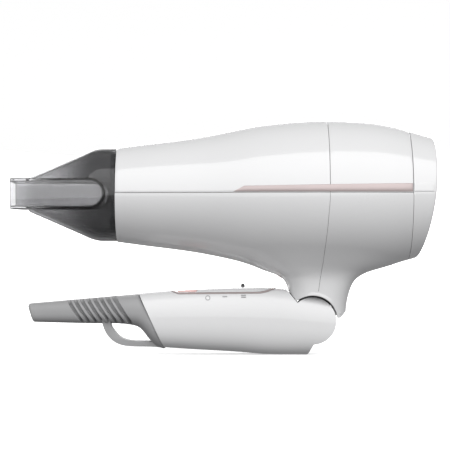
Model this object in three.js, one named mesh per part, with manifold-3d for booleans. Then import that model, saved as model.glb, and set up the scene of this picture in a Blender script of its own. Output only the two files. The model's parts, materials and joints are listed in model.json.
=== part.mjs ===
// Folding hair dryer with a flat slot nozzle, its handle folded forward under the barrel.
// Millimetres, +Z up. X runs along the barrel, from the nozzle (-X) to the air inlet (+X).
// The underside of the folded handle lies on z = 0.
import * as THREE from 'three';
import * as BufferGeometryUtils from 'three/addons/utils/BufferGeometryUtils.js';
import Module from 'manifold-3d';

const wasm = await Module();
wasm.setup();

// ---------------------------------------------------------------- driving dimensions
// Barrel
const nozzleLength = 61.5;          // outlet lip to the barrel's front rim
const shellLength = 173.4;          // front rim to the rear cover's seam
const coverDepth = 16.6;            // rear cover's seam to its furthest point
const mouthRadius = 28.6;
const bellyRadius = 45.3;
const coverSeamRadius = 39.5;
const coverEndRadius = 34.7;          // where the barrel's curve would end inside the cover
const barrelWall = 2.2;
const domeRadius = 129;             // the inlet face is part of a large ball, seen from the side
const domeLift = 14.1;              // the ball's centre above the barrel's axis
const domeSpread = 1.525;           // the ball is this much wider than high, so the face is flatter across
// Neck and hinge
const neckDrop = 29.9;              // hinge axis to the barrel's underside
const neckFront = 13.9;             // neck's front face ahead of the hinge axis
const neckRear = 21.0;              // neck's rear face behind the hinge axis
const neckWidth = 35.4;
const hingeFromCover = 57.2;        // rear cover's seam to the hinge axis
const cheekRadius = 13.9;
const knuckleWidth = 17.6;
const pinRadius = 4;
const washerThickness = 0.8;
const notchAngle = 129;             // where the folded handle's face meets the neck's
const unfoldAngle = 94;
const neckRearAngle = 6;            // where the neck's rear lip ends
// Handle
const handleLength = 95.6;          // hinge axis to the strain relief, at mid depth
const handleDepth = 40.4;
const handleWidth = 34.4;
const handleWall = 2.2;
const bootSlant = 25;               // strain relief joint, degrees from upright
const bootLength = 73.8;            // strain relief joint to its tip
const bootTipRadius = 5.6;
const leadRadius = 3.5;
// Nozzle
const rimStep = 0.5;                // how far the barrel's rim stands out round the nozzle
const ductShows = 8.5;              // length of the slot duct ahead of the cone
const slotHeight = 18.2;
const slotWidth = 56;
const nozzleWall = 1.8;
// Trim
const stripHeight = 5.2;
const stripThickness = 1.3;
// Inside
const tubeSpace = 2;                // air space round the mica tube, at the barrel's mouth
const ductSpace = 2.5;              // air space round the fan duct
const ductWall = 1.6;
const motorRadius = 13.7;
const motorLength = 23;
// Clearances
const gap = 0.3;                    // between neighbouring pieces
const runGap = 0.4;                 // round pieces that turn or slide
const REACH = 200;                  // longer than anything it cuts

// ---------------------------------------------------------------- places worked out from them
const coverX = 109.8;               // the origin lies near the middle of the folded dryer
const rearX = coverX + coverDepth;
const mouthX = coverX - shellLength;
const outletX = mouthX - nozzleLength;
const hingeX = coverX - hingeFromCover;
const hingeZ = handleDepth / 2;
const axisZ = hingeZ + neckDrop + bellyRadius;
const handleRearAngle = neckRearAngle - unfoldAngle;
const bootX = hingeX - handleLength;
const cheekInside = knuckleWidth / 2 + washerThickness + 2 * gap;
const seamZ = axisZ + 0.4;          // upper and lower shells meet here
const handleTop = handleDepth;
const nozzleRadius = mouthRadius - rimStep;
const tubeRadius = mouthRadius - barrelWall - tubeSpace;
const ductRear = coverX - 6.5;
const ductFront = hingeX - 14.6;

// ---------------------------------------------------------------- shape helpers
function signedVolume(points, index) {
  let sum = 0;
  for (let i = 0; i < index.length; i += 3) {
    const [a, b, c] = [0, 1, 2].map((k) => new THREE.Vector3().fromArray(points, 3 * index[i + k]));
    sum += a.dot(b.cross(c));
  }
  return sum;
}

// A closed three.js geometry as a solid: shared vertices merged, flat triangles dropped, faces outward.
function solid(geometry) {
  geometry.deleteAttribute('normal');
  geometry.deleteAttribute('uv');
  const merged = BufferGeometryUtils.mergeVertices(geometry, 1e-4);
  const points = Float32Array.from(merged.attributes.position.array);
  const index = Array.from(merged.index.array);
  const kept = [];
  for (let i = 0; i < index.length; i += 3) {
    const [a, b, c] = index.slice(i, i + 3);
    if (a !== b && b !== c && c !== a) kept.push(a, b, c);
  }
  if (signedVolume(points, kept) < 0) kept.reverse();
  const mesh = new wasm.Mesh({ numProp: 3, vertProperties: points, triVerts: Uint32Array.from(kept) });
  return new wasm.Manifold(mesh);
}

function box(x0, x1, y0, y1, z0, z1) {
  const geometry = new THREE.BoxGeometry(x1 - x0, y1 - y0, z1 - z0);
  geometry.translate((x0 + x1) / 2, (y0 + y1) / 2, (z0 + z1) / 2);
  return solid(geometry);
}

function shapeOf(points) {
  return new THREE.Shape(points.map(([u, v]) => new THREE.Vector2(u, v)));
}

// A side outline of [x, z] points, extruded across the object from y0 to y1.
function sidePlate(points, y0, y1) {
  const geometry = new THREE.ExtrudeGeometry(shapeOf(points), { depth: y1 - y0, bevelEnabled: false });
  geometry.rotateX(Math.PI / 2);
  geometry.translate(0, y1, 0);
  return solid(geometry);
}

// A closed profile of [x, radius] points turned about the line y = 0, z = height.
function turned(profile, height = axisZ, sides = 32) {
  const points = profile.map(([x, r]) => new THREE.Vector2(r, x));
  const geometry = new THREE.LatheGeometry(points, sides);
  geometry.rotateZ(-Math.PI / 2);
  geometry.translate(0, 0, height);
  return solid(geometry);
}

function ring(x0, x1, inner, outer, sides = 32) {
  return turned([[x0, inner], [x0, outer], [x1, outer], [x1, inner], [x0, inner]], axisZ, sides);
}

function rodX(x0, x1, radius, y, z, sides = 20) {
  return turned([[x0, 0], [x0, radius], [x1, radius], [x1, 0]], z, sides).translate([0, y, 0]);
}

function rodY(x, z, radius, y0, y1, sides = 24) {
  const geometry = new THREE.CylinderGeometry(radius, radius, y1 - y0, sides);
  geometry.translate(x, (y0 + y1) / 2, z);
  return solid(geometry);
}

// One ring of a rounded-box section. place(c, s) turns the two unit shares into a point.
function sectionRing(power, place, sides = 24) {
  const points = [];
  for (let i = 0; i < sides; i += 1) {
    const angle = 2 * Math.PI * (i + 0.5) / sides;
    const soft = (v) => Math.sign(v) * Math.abs(v) ** (2 / power);
    points.push(place(soft(Math.cos(angle)), soft(Math.sin(angle))));
  }
  return points;
}

// A closed skin through rings that all have the same number of points, with flat ends.
function loft(rings) {
  const sides = rings[0].length;
  const last = (rings.length - 1) * sides;
  const index = [];
  for (let r = 0; r < last; r += sides) {
    for (let s = 0; s < sides; s += 1) {
      const next = (s + 1) % sides;
      index.push(r + s, r + next, r + s + sides, r + next, r + next + sides, r + s + sides);
    }
  }
  for (let s = 1; s + 1 < sides; s += 1) {
    index.push(0, s + 1, s, last, last + s, last + s + 1);
  }
  const geometry = new THREE.BufferGeometry().setFromPoints(rings.flat());
  geometry.setIndex(index);
  return solid(geometry);
}

// A wire wound about the X axis direction (or Z when upright), from start along its length.
class Helix extends THREE.Curve {
  constructor(start, length, radius, turns, upright) {
    super();
    Object.assign(this, { start, length, radius, turns, upright });
  }

  getPoint(t, target = new THREE.Vector3()) {
    const angle = 2 * Math.PI * this.turns * t;
    const [across, along, up] = [this.radius * Math.cos(angle), this.length * t, this.radius * Math.sin(angle)];
    if (this.upright) target.set(across, up, along);
    else target.set(along, across, up);
    return target.add(this.start);
  }
}

function coil(start, length, radius, turns, wire, upright = false) {
  const section = [[wire, 0], [0, wire], [-wire, 0], [0, -wire]];
  const path = new Helix(start, length, radius, turns, upright);
  const options = { steps: Math.round(turns * 10), bevelEnabled: false, extrudePath: path };
  return solid(new THREE.ExtrudeGeometry(shapeOf(section), options));
}

// The part of the side view between two angles about the hinge axis.
function hingeSector(from, to) {
  const points = [[hingeX, hingeZ]];
  const steps = Math.ceil((to - from) / 30);
  for (let i = 0; i <= steps; i += 1) {
    const angle = THREE.MathUtils.degToRad(from + (to - from) * i / steps);
    points.push([hingeX + REACH * Math.cos(angle), hingeZ + REACH * Math.sin(angle)]);
  }
  return sidePlate(points, -REACH, REACH);
}

// ---------------------------------------------------------------- the barrel's and the neck's skins
// Barrel radius along its length: shares of the shell's length, and of the swell or the taper.
const swell = (share) => mouthRadius + share * (bellyRadius - mouthRadius);
const taper = (share) => bellyRadius + share * (coverSeamRadius - bellyRadius);
const barrelCurve = new THREE.SplineCurve([
  [0, swell(0)], [0.209, swell(0.28)], [0.375, swell(0.587)], [0.541, swell(0.886)],
  [0.735, bellyRadius], [0.9, taper(0.33)], [1, coverSeamRadius],
  [1 + coverDepth / shellLength, coverEndRadius],
].map(([share, radius]) => new THREE.Vector2(mouthX + share * shellLength, radius))).getPoints(140);

function barrelRadius(x) {
  const next = barrelCurve.findIndex((point) => point.x >= x);
  if (next <= 0) return next === 0 ? mouthRadius : coverEndRadius;
  const [a, b] = [barrelCurve[next - 1], barrelCurve[next]];
  return a.y + (b.y - a.y) * (x - a.x) / (b.x - a.x);
}

const ductEnds = [ductFront + 16, ductRear].map(barrelRadius);
const ductRadius = Math.min(...ductEnds) - barrelWall - ductSpace;

function barrelSkin(inset, fromX, toX) {
  const steps = Math.max(2, Math.round((toX - fromX) / 13));
  const profile = [[fromX, 0]];
  for (let i = 0; i <= steps; i += 1) {
    const x = fromX + (toX - fromX) * i / steps;
    profile.push([x, barrelRadius(x) - inset]);
  }
  profile.push([toX, 0]);
  return turned(profile);
}

// Neck sections from the top down: height above the barrel's underside, reach ahead of and behind
// the straight neck, and how much wider than the neck the flare is.
const neckFlare = [
  [14, 24, 33, 13], [6.4, 26.7, 33.3, 8], [3.3, 17.7, 21, 4.5], [0.2, 12.2, 12.2, 2.4],
  [-2.9, 5.7, 7.4, 1.1], [-6.4, 2.2, 4.6, 0.4], [-11.6, 0.2, 1.8, 0],
];

function neckSkin(inset) {
  const under = hingeZ + neckDrop;
  const sections = neckFlare.map(([up, ahead, behind, wider]) => [under + up, ahead, behind, wider]);
  sections.push([hingeZ - 2, 0, 0, 0]);
  return loft(sections.map(([z, ahead, behind, wider]) => {
    const front = hingeX - neckFront - ahead + inset;
    const rear = hingeX + neckRear + behind - inset;
    const half = neckWidth / 2 + wider - inset;
    const [middle, reach] = [(front + rear) / 2, (rear - front) / 2];
    return sectionRing(2.5, (c, s) => new THREE.Vector3(middle + reach * c, half * s, z));
  }));
}

// What the neck leaves free for the handle: the cheeks' round and the angle it folds through.
function neckCut(radius, spare) {
  const round = rodY(hingeX, hingeZ, radius, -REACH, REACH, 40);
  return round.add(hingeSector(notchAngle - spare, 360 + neckRearAngle + spare));
}

function neckBody(inset, radius, spare) {
  const corner = hingeZ + 6.3;
  const rear = hingeX + neckRear;
  const chamfer = sidePlate([[rear + 9, corner + 9.5], [rear - 9, corner - 9.5], [rear + 9, corner - 9.5]],
    -REACH, REACH);
  return neckSkin(inset).subtract(neckCut(radius, spare)).subtract(chamfer);
}

// ---------------------------------------------------------------- seams
// The seam between front and rear shells: upright down to below the trim, then leaning forward.
function frontOfSeam(shift) {
  const seam = [[8.7, REACH], [8.7, axisZ - 3.4 - hingeZ], [7.3, 52.5], [5.7, 34.7], [2.8, 13.5], [2.2, 8]];
  const line = seam.map(([x, z]) => [hingeX + x + shift, hingeZ + z]);
  return sidePlate([...line, [-2 * REACH, hingeZ + 8], [-2 * REACH, hingeZ + REACH]], -REACH, REACH);
}

const above = (z) => box(-2 * REACH, 2 * REACH, -REACH, REACH, z, 2 * REACH);
const below = (z) => box(-2 * REACH, 2 * REACH, -REACH, REACH, -REACH, z);
const leftSide = (y) => box(-2 * REACH, 2 * REACH, -REACH, y, -REACH, 2 * REACH);
const rightSide = (y) => box(-2 * REACH, 2 * REACH, y, REACH, -REACH, 2 * REACH);

// ---------------------------------------------------------------- trim strips
function stripOutline(grow) {
  const tip = hingeX - 47.5;
  const drop = 6 * grow;
  const frontTop = seamZ + stripHeight - 1.8 + grow;
  const rearTop = seamZ + stripHeight + grow;
  const end = coverX + (grow ? 2 : -gap);
  return [[tip - 2 * (drop + grow), seamZ - drop], [tip + 6.8 - grow, frontTop], [end, rearTop],
    [end, seamZ - drop]];
}

function stripBand(outset, depth, grow) {
  const band = barrelSkin(-outset, mouthX, coverX).subtract(barrelSkin(depth, mouthX, coverX));
  return sidePlate(stripOutline(grow), -REACH, REACH).intersect(band);
}

// ---------------------------------------------------------------- outer shells
const knuckleFront = 7.5;           // hinge knuckle's stem ahead of and behind the hinge axis
const knuckleRear = 11;
const neckRound = cheekRadius + runGap;
const lightX = hingeX - 19.2;       // rose-tinted light in the front of the neck
const lightZ = hingeZ + neckDrop - 2.4;
const lightRadius = 2.6;
const lightTilt = 33;               // its face leans this far forward of straight down

function lightRod(radius, from, to) {
  const geometry = new THREE.CylinderGeometry(radius, radius, to - from, 20);
  geometry.translate(0, (from + to) / 2, 0);
  geometry.rotateY(Math.PI / 2);
  geometry.rotateX(Math.PI / 2);
  geometry.rotateY(THREE.MathUtils.degToRad(lightTilt));
  geometry.translate(lightX, 0, lightZ);
  return solid(geometry);
}

function housing() {
  const outside = barrelSkin(0, mouthX, coverX).add(neckBody(0, neckRound, 0.8));
  const hollow = barrelSkin(barrelWall, mouthX - 1, coverX + 1)
    .add(neckBody(barrelWall, neckRound + barrelWall, 8));
  const slotHalf = knuckleWidth / 2 + gap;
  const slot = box(hingeX - knuckleFront - runGap, hingeX + knuckleRear + runGap, -slotHalf, slotHalf,
    hingeZ + 4, hingeZ + 22);
  return outside.subtract(hollow).subtract(slot).subtract(stripBand(1, stripThickness + gap, gap));
}

const shell = housing().subtract(lightRod(lightRadius + gap, -5, 6));
const upper = shell.intersect(above(seamZ + gap / 2));
const lower = shell.intersect(below(seamZ - gap / 2));
const frontUpperShell = upper.intersect(frontOfSeam(-gap / 2));
const rearUpperShell = upper.subtract(frontOfSeam(gap / 2));
const frontLowerShell = lower.intersect(frontOfSeam(-gap / 2));
const rearLowerShell = lower.subtract(frontOfSeam(gap / 2));
const strips = stripBand(0, stripThickness, 0);
const ionLight = lightRod(lightRadius, -1.4, 3);

// ---------------------------------------------------------------- rear cover and filter
// The rear part of the ball that the inlet face is cut from, as a solid that reaches into the barrel.
function domeBall(inset) {
  const radius = domeRadius - inset;
  const centre = rearX - domeRadius;
  const profile = [[coverX - 20, 0]];
  for (let degrees = 42; degrees >= 0; degrees -= 7) {
    const angle = THREE.MathUtils.degToRad(degrees);
    if (degrees === 42) profile.push([coverX - 20, radius * Math.sin(angle)]);
    profile.push([centre + radius * Math.cos(angle), radius * Math.sin(angle)]);
  }
  return turned(profile, axisZ + domeLift).scale([1, domeSpread, 1]);
}

function rearCover() {
  const cup = barrelSkin(0, coverX + gap, rearX + 2).intersect(domeBall(0));
  const inside = barrelSkin(barrelWall, coverX - 1, rearX + 2).intersect(domeBall(barrelWall));
  const spigotRadius = Math.min(barrelRadius(coverX - 13), coverSeamRadius) - barrelWall - runGap;
  const spigot = ring(coverX - 5, coverX + 2.4, spigotRadius - 1.6, spigotRadius);
  const lip = ring(coverX + gap, coverX + 2.4, spigotRadius - 1.6, coverSeamRadius - 1.2);
  let cover = cup.subtract(inside).add(spigot).add(lip);
  const pitch = 6.4;
  for (let row = -4; row <= 4; row += 1) {
    const half = Math.sqrt(29 ** 2 - (row * pitch) ** 2);
    const z = axisZ + row * pitch;
    cover = cover.subtract(box(coverX + 4, rearX + 5, -half, half, z - 1.6, z + 1.6));
  }
  return cover;
}

function rearFilter() {
  const radius = coverSeamRadius - barrelWall - 1.6 - 2 * runGap;
  const [x0, x1] = [coverX - 1.5, coverX - 0.3];
  let filter = ring(x0, x1, radius - 2.4, radius, 24);
  const wires = turned([[x0, 0], [x0, radius - 1], [x1, radius - 1], [x1, 0]], axisZ, 16);
  for (let row = -1; row <= 1; row += 1) {
    const at = row * 16;
    filter = filter.add(box(x0, x1, at - 0.6, at + 0.6, -REACH, REACH).intersect(wires));
    filter = filter.add(box(x0, x1, -REACH, REACH, axisZ + at - 0.6, axisZ + at + 0.6).intersect(wires));
  }
  return filter;
}

// ---------------------------------------------------------------- handle
// Handle sections: distance ahead of the hinge axis as a share of the handle's length, and the top
// and bottom as shares of half its depth. The bottom is planed off flat at z = 0.
const handleSections = [
  [1.2, 0.77, -0.7, 0.94], [0.874, 0.91, -0.826, 0.97], [0.655, 0.965, -0.89, 1], [0.429, 0.995, -0.955, 1],
  [0.28, 0.985, -1.012, 1], [0.153, 0.925, -1.025, 1], [-0.06, 0.76, -1.025, 1],
];

function handleSkin(inset) {
  return loft(handleSections.map(([share, top, bottom, width]) => {
    const x = hingeX - share * handleLength;
    const half = handleDepth / 2;
    const [high, low] = [hingeZ + top * half - inset, hingeZ + bottom * half + inset];
    const across = width * handleWidth / 2 - inset;
    const [middle, reach] = [(high + low) / 2, (high - low) / 2];
    return sectionRing(2.9, (c, s) => new THREE.Vector3(x, across * c, middle + reach * s));
  }));
}

// The side of the strain relief joint that faces the hinge. shift moves the joint towards the hinge.
function behindBoot(shift) {
  const lean = Math.tan(THREE.MathUtils.degToRad(bootSlant)) * REACH;
  const x = bootX + shift;
  return sidePlate([[x - lean, hingeZ + REACH], [x + lean, hingeZ - REACH], [x + 3 * REACH, hingeZ - REACH],
    [x + 3 * REACH, hingeZ + REACH]], -REACH, REACH);
}

// Outline of the switch panel in the handle's top: its ends sweep up through the surface.
function panelOutline(grow) {
  const high = handleTop + 20;
  const [front, rear] = [hingeX - 83.4 - grow, hingeX - 22.2 + grow];
  const floor = handleTop - 3.8 - grow;
  return [[front - 2, high], [front, handleTop - 2 - grow], [front + 4.6, floor], [rear - 7, floor + 0.9],
    [rear, handleTop - 0.4 - grow], [rear + 2, high]];
}

const panelPlate = (grow) => sidePlate(panelOutline(grow), -REACH, REACH);
const trimLine = 0.8;
const buttonX = [hingeX - 80, hingeX - 68.4];
const buttonHalf = 5.2;
const slotX = [hingeX - 64.2, hingeX - 38.8];
const knobX = hingeX - 41.1;
const knobTravel = 21;

function screwBoss(x, z) {
  return rodY(x, z, 4.2, -handleWidth / 2 + 1, handleWidth / 2 - 1, 20).intersect(handleSkin(1));
}

const screwPlaces = [72, 25.5].map((ahead) => [hingeX - ahead, hingeZ - handleDepth / 4]);

function handleShells() {
  const joint = handleSkin(0).intersect(behindBoot(gap / 2));
  const cheeks = rodY(hingeX, hingeZ, cheekRadius, -handleWidth / 2, handleWidth / 2, 40);
  const body = joint.intersect(hingeSector(notchAngle + 0.6, 360 + handleRearAngle - 0.8)).add(cheeks);
  const socket = rodY(hingeX, hingeZ, cheekRadius + handleWall, -REACH, REACH, 40);
  let hollow = handleSkin(handleWall).intersect(behindBoot(handleWall));
  hollow = hollow.intersect(hingeSector(notchAngle + 7, 360 + handleRearAngle - 7)).subtract(socket);
  for (const [x, z] of screwPlaces) hollow = hollow.subtract(screwBoss(x, z));
  const fork = rodY(hingeX, hingeZ, cheekRadius, -cheekInside, cheekInside, 40);
  const pinHole = rodY(hingeX, hingeZ, pinRadius + gap, -handleWidth / 2 + 1.2, handleWidth / 2 - 1.2);
  let shells = body.subtract(hollow).subtract(fork).subtract(pinHole).subtract(panelPlate(trimLine + gap));
  for (const [x, z] of screwPlaces) {
    shells = shells.subtract(rodY(x, z, 1.4 + gap, -handleWidth / 2 + 3, handleWidth, 16));
    shells = shells.subtract(rodY(x, z, 2.8 + gap, handleWidth / 2 - 3, handleWidth, 16));
  }
  const leadWay = rodX(bootX - 30, bootX + 20, leadRadius + gap, 0, leadZ);
  return shells.subtract(leadWay).intersect(above(0));
}

function handleScrew(x, z) {
  const shank = rodY(x, z, 1.4, -handleWidth / 2 + 3.5, handleWidth / 2 - 2, 12);
  const head = rodY(x, z, 2.8, handleWidth / 2 - 2.6, handleWidth / 2 - 1.6, 16);
  return shank.add(head);
}

function panelOpenings() {
  const half = buttonHalf + gap;
  const button = box(buttonX[0] - gap, buttonX[1] + gap, -half, half, hingeZ, REACH);
  return button.add(box(...slotX, -1.2, 1.2, hingeZ, REACH));
}

function switchPanel() {
  const skin = handleSkin(0).subtract(handleSkin(3));
  return skin.intersect(panelPlate(-gap)).subtract(panelOpenings());
}

function panelTrim() {
  const skin = handleSkin(-0.1).subtract(handleSkin(2.6));
  return skin.intersect(panelPlate(trimLine)).subtract(panelPlate(0)).subtract(panelOpenings());
}

function sliderKnob() {
  const ridge = sidePlate([[knobX - 1.3, handleTop], [knobX - 0.8, handleTop + 2.3],
    [knobX + 0.8, handleTop + 2.3], [knobX + 1.3, handleTop]], -4, 4);
  const stem = box(knobX - 0.9, knobX + 0.9, -0.8, 0.8, handleTop - 6.6, handleTop + 1);
  const carriage = box(knobX - 2, knobX + 2, -4, 4, handleTop - 6.6, handleTop - 4.6);
  return ridge.add(stem).add(carriage);
}

function coolShotButton() {
  const [b0, b1] = buttonX;
  const cap = box(b0, b1, -buttonHalf, buttonHalf, handleTop - 6.2, REACH);
  const top = handleSkin(0.9).intersect(cap);
  const foot = box(b0 + 3, b1 - 3, -2, 2, handleTop - 7.2, handleTop - 5.2);
  return top.add(foot);
}

const bodyTop = handleTop - 12.2;   // the switch body's top, under the spring and the knob
const boardTop = bodyTop - 6.8;
const switchBody = box(hingeX - 79, hingeX - 33, -8, 8, boardTop + gap, bodyTop);
const switchBoard = box(hingeX - 81, hingeX - 31, -10.5, 10.5, boardTop - 1.6, boardTop);
const buttonMiddle = (buttonX[0] + buttonX[1]) / 2;
const buttonSpring = coil(new THREE.Vector3(buttonMiddle, 0, bodyTop + 0.8), 3.4, 1.8, 3, 0.3, true);

// ---------------------------------------------------------------- strain relief
const leadZ = hingeZ + 4.2;
const tipX = bootX - bootLength;

// Underside of the tapering sleeve: distance ahead of the joint as a share of the boot's length,
// and depth below the lead's line as a share of the lead's height and of the tip's radius.
const sleeveUnder = [
  [-0.19, 0.9, 0], [0.023, 0.63, 0], [0.081, 0.4, 0], [0.152, 0.29, 0],
  [0.434, 0, 1.125], [0.732, 0, 1.054], [0.955, 0, 0.98], [1, 0, 0.79],
];

function sleeveSkin(inset) {
  const jointTop = hingeZ + 0.8 * handleDepth / 2 - leadZ;
  const jointHalf = 0.92 * handleWidth / 2;
  return loft(sleeveUnder.map(([share, deep, slim]) => {
    const t = Math.max(share, 0);
    const round = share === 1 ? 0.8 : 1;
    const top = round * THREE.MathUtils.lerp(jointTop, bootTipRadius, share);
    const bottom = -deep * leadZ - slim * bootTipRadius;
    const across = round * THREE.MathUtils.lerp(jointHalf, bootTipRadius, t ** 0.75) - inset;
    const [middle, reach] = [leadZ + (top + bottom) / 2, (top - bottom) / 2 - inset];
    const x = bootX - share * bootLength;
    return sectionRing(2.5, (c, s) => new THREE.Vector3(x, across * c, middle + reach * s), 16);
  }));
}

// The hanging loop's arm, a band that leaves the sleeve, sweeps down and joins the boot's lower lip.
function loopArm() {
  const outer = [[32, -6], [27.6, -11.2], [23.3, -16.4], [18, -19], [13.8, -19.7], [-1.4, -20.2], [-8, -21]];
  const inner = [[-3, -17.4], [2.5, -16.9], [13.3, -16.4], [18, -14.8], [22.3, -10.6], [24.3, -7.2], [24.4, -3]];
  const outline = [...outer, ...inner].map(([ahead, up]) => [bootX - ahead, leadZ + up]);
  return sidePlate([...outline, [bootX - 32, leadZ - 3]], -5, 5);
}

const groovePitch = 4.05;

function strainRelief() {
  let boot = sleeveSkin(0).add(loopArm()).subtract(behindBoot(-gap / 2));
  const core = sleeveSkin(1.7);
  const lean = Math.tan(THREE.MathUtils.degToRad(bootSlant)) * 40;
  for (let groove = 0; groove < 8; groove += 1) {
    const x = bootX - 13.9 - groove * groovePitch;
    const slab = sidePlate([[x - lean, leadZ + 40], [x + lean, leadZ - 40], [x + lean - 1.9, leadZ - 40],
      [x - lean - 1.9, leadZ + 40]], -REACH, REACH);
    boot = boot.subtract(slab.intersect(above(leadZ - 5)).subtract(core));
  }
  return boot.subtract(rodX(tipX - 5, bootX + 30, leadRadius, 0, leadZ));
}

function cordClamp() {
  const block = box(bootX + 7, bootX + 14, -8, 8, leadZ - 6, leadZ + 6);
  return block.subtract(rodX(bootX, bootX + 20, leadRadius - 0.3, 0, leadZ));
}

// ---------------------------------------------------------------- hinge
const knuckleHalf = knuckleWidth / 2;

function hingeKnuckle() {
  const eye = rodY(hingeX, hingeZ, cheekRadius - runGap, -knuckleHalf, knuckleHalf, 40);
  const stem = box(hingeX - knuckleFront, hingeX + knuckleRear, -knuckleHalf, knuckleHalf, hingeZ, hingeZ + 26);
  return eye.add(stem).subtract(rodY(hingeX, hingeZ, pinRadius + gap, -REACH, REACH));
}

function hingeWasher(side) {
  const from = side * (knuckleHalf + gap);
  const to = side * (knuckleHalf + gap + washerThickness);
  const disc = rodY(hingeX, hingeZ, cheekRadius - 3, Math.min(from, to), Math.max(from, to));
  return disc.subtract(rodY(hingeX, hingeZ, pinRadius + gap, -REACH, REACH));
}

const hingePin = rodY(hingeX, hingeZ, pinRadius, -handleWidth / 2 + 1.6, handleWidth / 2 - 1.6);

// ---------------------------------------------------------------- nozzle
// The cone is round; the slot duct stands out of it as a flat fin on each side.
function nozzleSkin(inset, spare) {
  const lip = slotHeight / 2 - inset;
  const collar = nozzleRadius - inset;
  const cone = turned([
    [outletX + ductShows, 0], [outletX + ductShows, lip + 1.4], [mouthX - 19, collar - 2.4], [mouthX - 12.1, collar - 0.4],
    [mouthX - 8, collar], [mouthX - gap + spare, collar], [mouthX - gap + spare, 0],
  ]);
  const half = slotWidth / 2 - inset;
  const section = (x, across, high) =>
    sectionRing(6, (c, s) => new THREE.Vector3(x, across * c, axisZ + high * s), 24);
  const duct = loft([section(outletX - spare, half, lip), section(outletX + ductShows, half, lip),
    section(mouthX - 12, half - 3, lip), section(mouthX - 7.4, nozzleRadius - inset - 6, lip - 2)]);
  return cone.add(duct);
}

function concentratorNozzle() {
  const spigotOuter = mouthRadius - barrelWall - runGap;
  const spigotInner = spigotOuter - nozzleWall;
  const spigot = ring(mouthX - 3, mouthX + 7.6, spigotInner, spigotOuter);
  const flange = ring(mouthX - 3, mouthX - gap, spigotInner, nozzleRadius - nozzleWall / 2);
  return nozzleSkin(0, 0).subtract(nozzleSkin(nozzleWall, 1)).add(spigot).add(flange);
}

// ---------------------------------------------------------------- outlet grille and heater
function outletGrille() {
  const [x0, x1] = [mouthX + 9, mouthX + 12];
  const outer = mouthRadius - barrelWall - gap;
  let grille = ring(x0, x1 + 2, outer - 1.6, outer, 24).add(ring(x0, x1, 12.4, 13.6, 16)).add(ring(x0, x1, 3.6, 5, 12));
  for (let spoke = 0; spoke < 6; spoke += 1) {
    const bar = box(x0, x1, -0.7, 0.7, 4, outer - 1).rotate([spoke * 60, 0, 0]).translate([0, 0, axisZ]);
    grille = grille.add(bar);
  }
  return grille;
}

const boardFront = mouthX + 18;
const boardRear = ductFront - 4;
const boardHalf = tubeRadius - 7.4;
const lapX = (boardFront + boardRear) / 2;
const micaTube = ring(mouthX + 15, ductFront + 5, tubeRadius - 0.8, tubeRadius, 24);

function micaBoard(upright) {
  const [half, thin] = [boardHalf, 0.5];
  const wide = upright ? [-thin, thin, axisZ - half, axisZ + half] : [-half, half, axisZ - thin, axisZ + thin];
  const lap = upright ? [lapX - gap, boardRear + 1] : [boardFront - 1, lapX + gap];
  const cut = thin + gap;
  const notch = upright ? [-half, half, axisZ - cut, axisZ + cut] : [-cut, cut, axisZ - half, axisZ + half];
  return box(boardFront, boardRear, ...wide).subtract(box(...lap, ...notch));
}

const wireRadius = 0.8;
const coilRadius = (boardHalf + wireRadius + gap) / Math.cos(Math.PI / 10);
const coilRun = (boardRear - boardFront) / 2 - 6;
const coilFront = coil(new THREE.Vector3(boardFront + 3, 0, axisZ), coilRun, coilRadius, 5, wireRadius);
const coilRear = coil(new THREE.Vector3(lapX + 2, 0, axisZ), coilRun, coilRadius, 5, wireRadius);
const thermostat = box(boardRear - 12, boardRear - 2, 3, 12, axisZ + 0.8, axisZ + 5.8);
const thermalFuse = rodX(boardRear - 14, boardRear - 2, 2, -7, axisZ + 3, 12);

// ---------------------------------------------------------------- fan duct, motor and impeller
const cupRear = ductRear - 22;
const cupFront = cupRear - motorLength - 1;

function fanDuct() {
  const [wide, slim] = [ductRadius, tubeRadius + gap];
  let duct = turned([
    [ductFront, slim + ductWall], [ductFront + 6, slim + ductWall], [ductFront + 16, wide], [ductRear, wide],
    [ductRear, wide - ductWall], [ductFront + 16.7, wide - ductWall], [ductFront + 7, slim], [ductFront, slim],
    [ductFront, slim + ductWall],
  ], axisZ, 24);
  const cup = motorRadius + gap;
  duct = duct.add(turned([
    [cupFront, cup + ductWall], [cupRear + ductWall, cup + ductWall], [cupRear + ductWall, 4], [cupRear, 4],
    [cupRear, cup], [cupFront, cup], [cupFront, cup + ductWall],
  ], axisZ, 20));
  for (let vane = 0; vane < 5; vane += 1) {
    const blade = box(cupFront + 4, cupRear - 2, -0.7, 0.7, cup + 1, wide - 1);
    duct = duct.add(blade.rotate([vane * 72, 0, 0]).translate([0, 0, axisZ]));
  }
  return duct;
}

const shaftFront = cupRear - 12;
const shaftRear = cupRear + 15;

function motorCan() {
  const can = rodX(cupRear - gap - motorLength, cupRear - gap, motorRadius, 0, axisZ, 20);
  const bearing = rodX(cupRear - gap - motorLength - 2, cupRear - motorLength, 4, 0, axisZ, 16);
  let motor = can.add(bearing).subtract(rodX(shaftFront - 1, cupRear + 5, 1.9, 0, axisZ));
  for (const side of [-1, 1]) {
    motor = motor.subtract(rodX(cupFront - 2, cupFront + 6, 1.1 + gap, side * 8, axisZ, 12));
  }
  return motor;
}

function motorScrew(side) {
  const face = cupRear - gap - motorLength;
  const shank = rodX(face - 0.5, face + 4, 1.1, side * 8, axisZ, 12);
  return shank.add(rodX(face - 2, face - gap, 2.2, side * 8, axisZ, 12));
}

const motorShaft = rodX(shaftFront, shaftRear, 1.5, 0, axisZ, 16);

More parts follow.
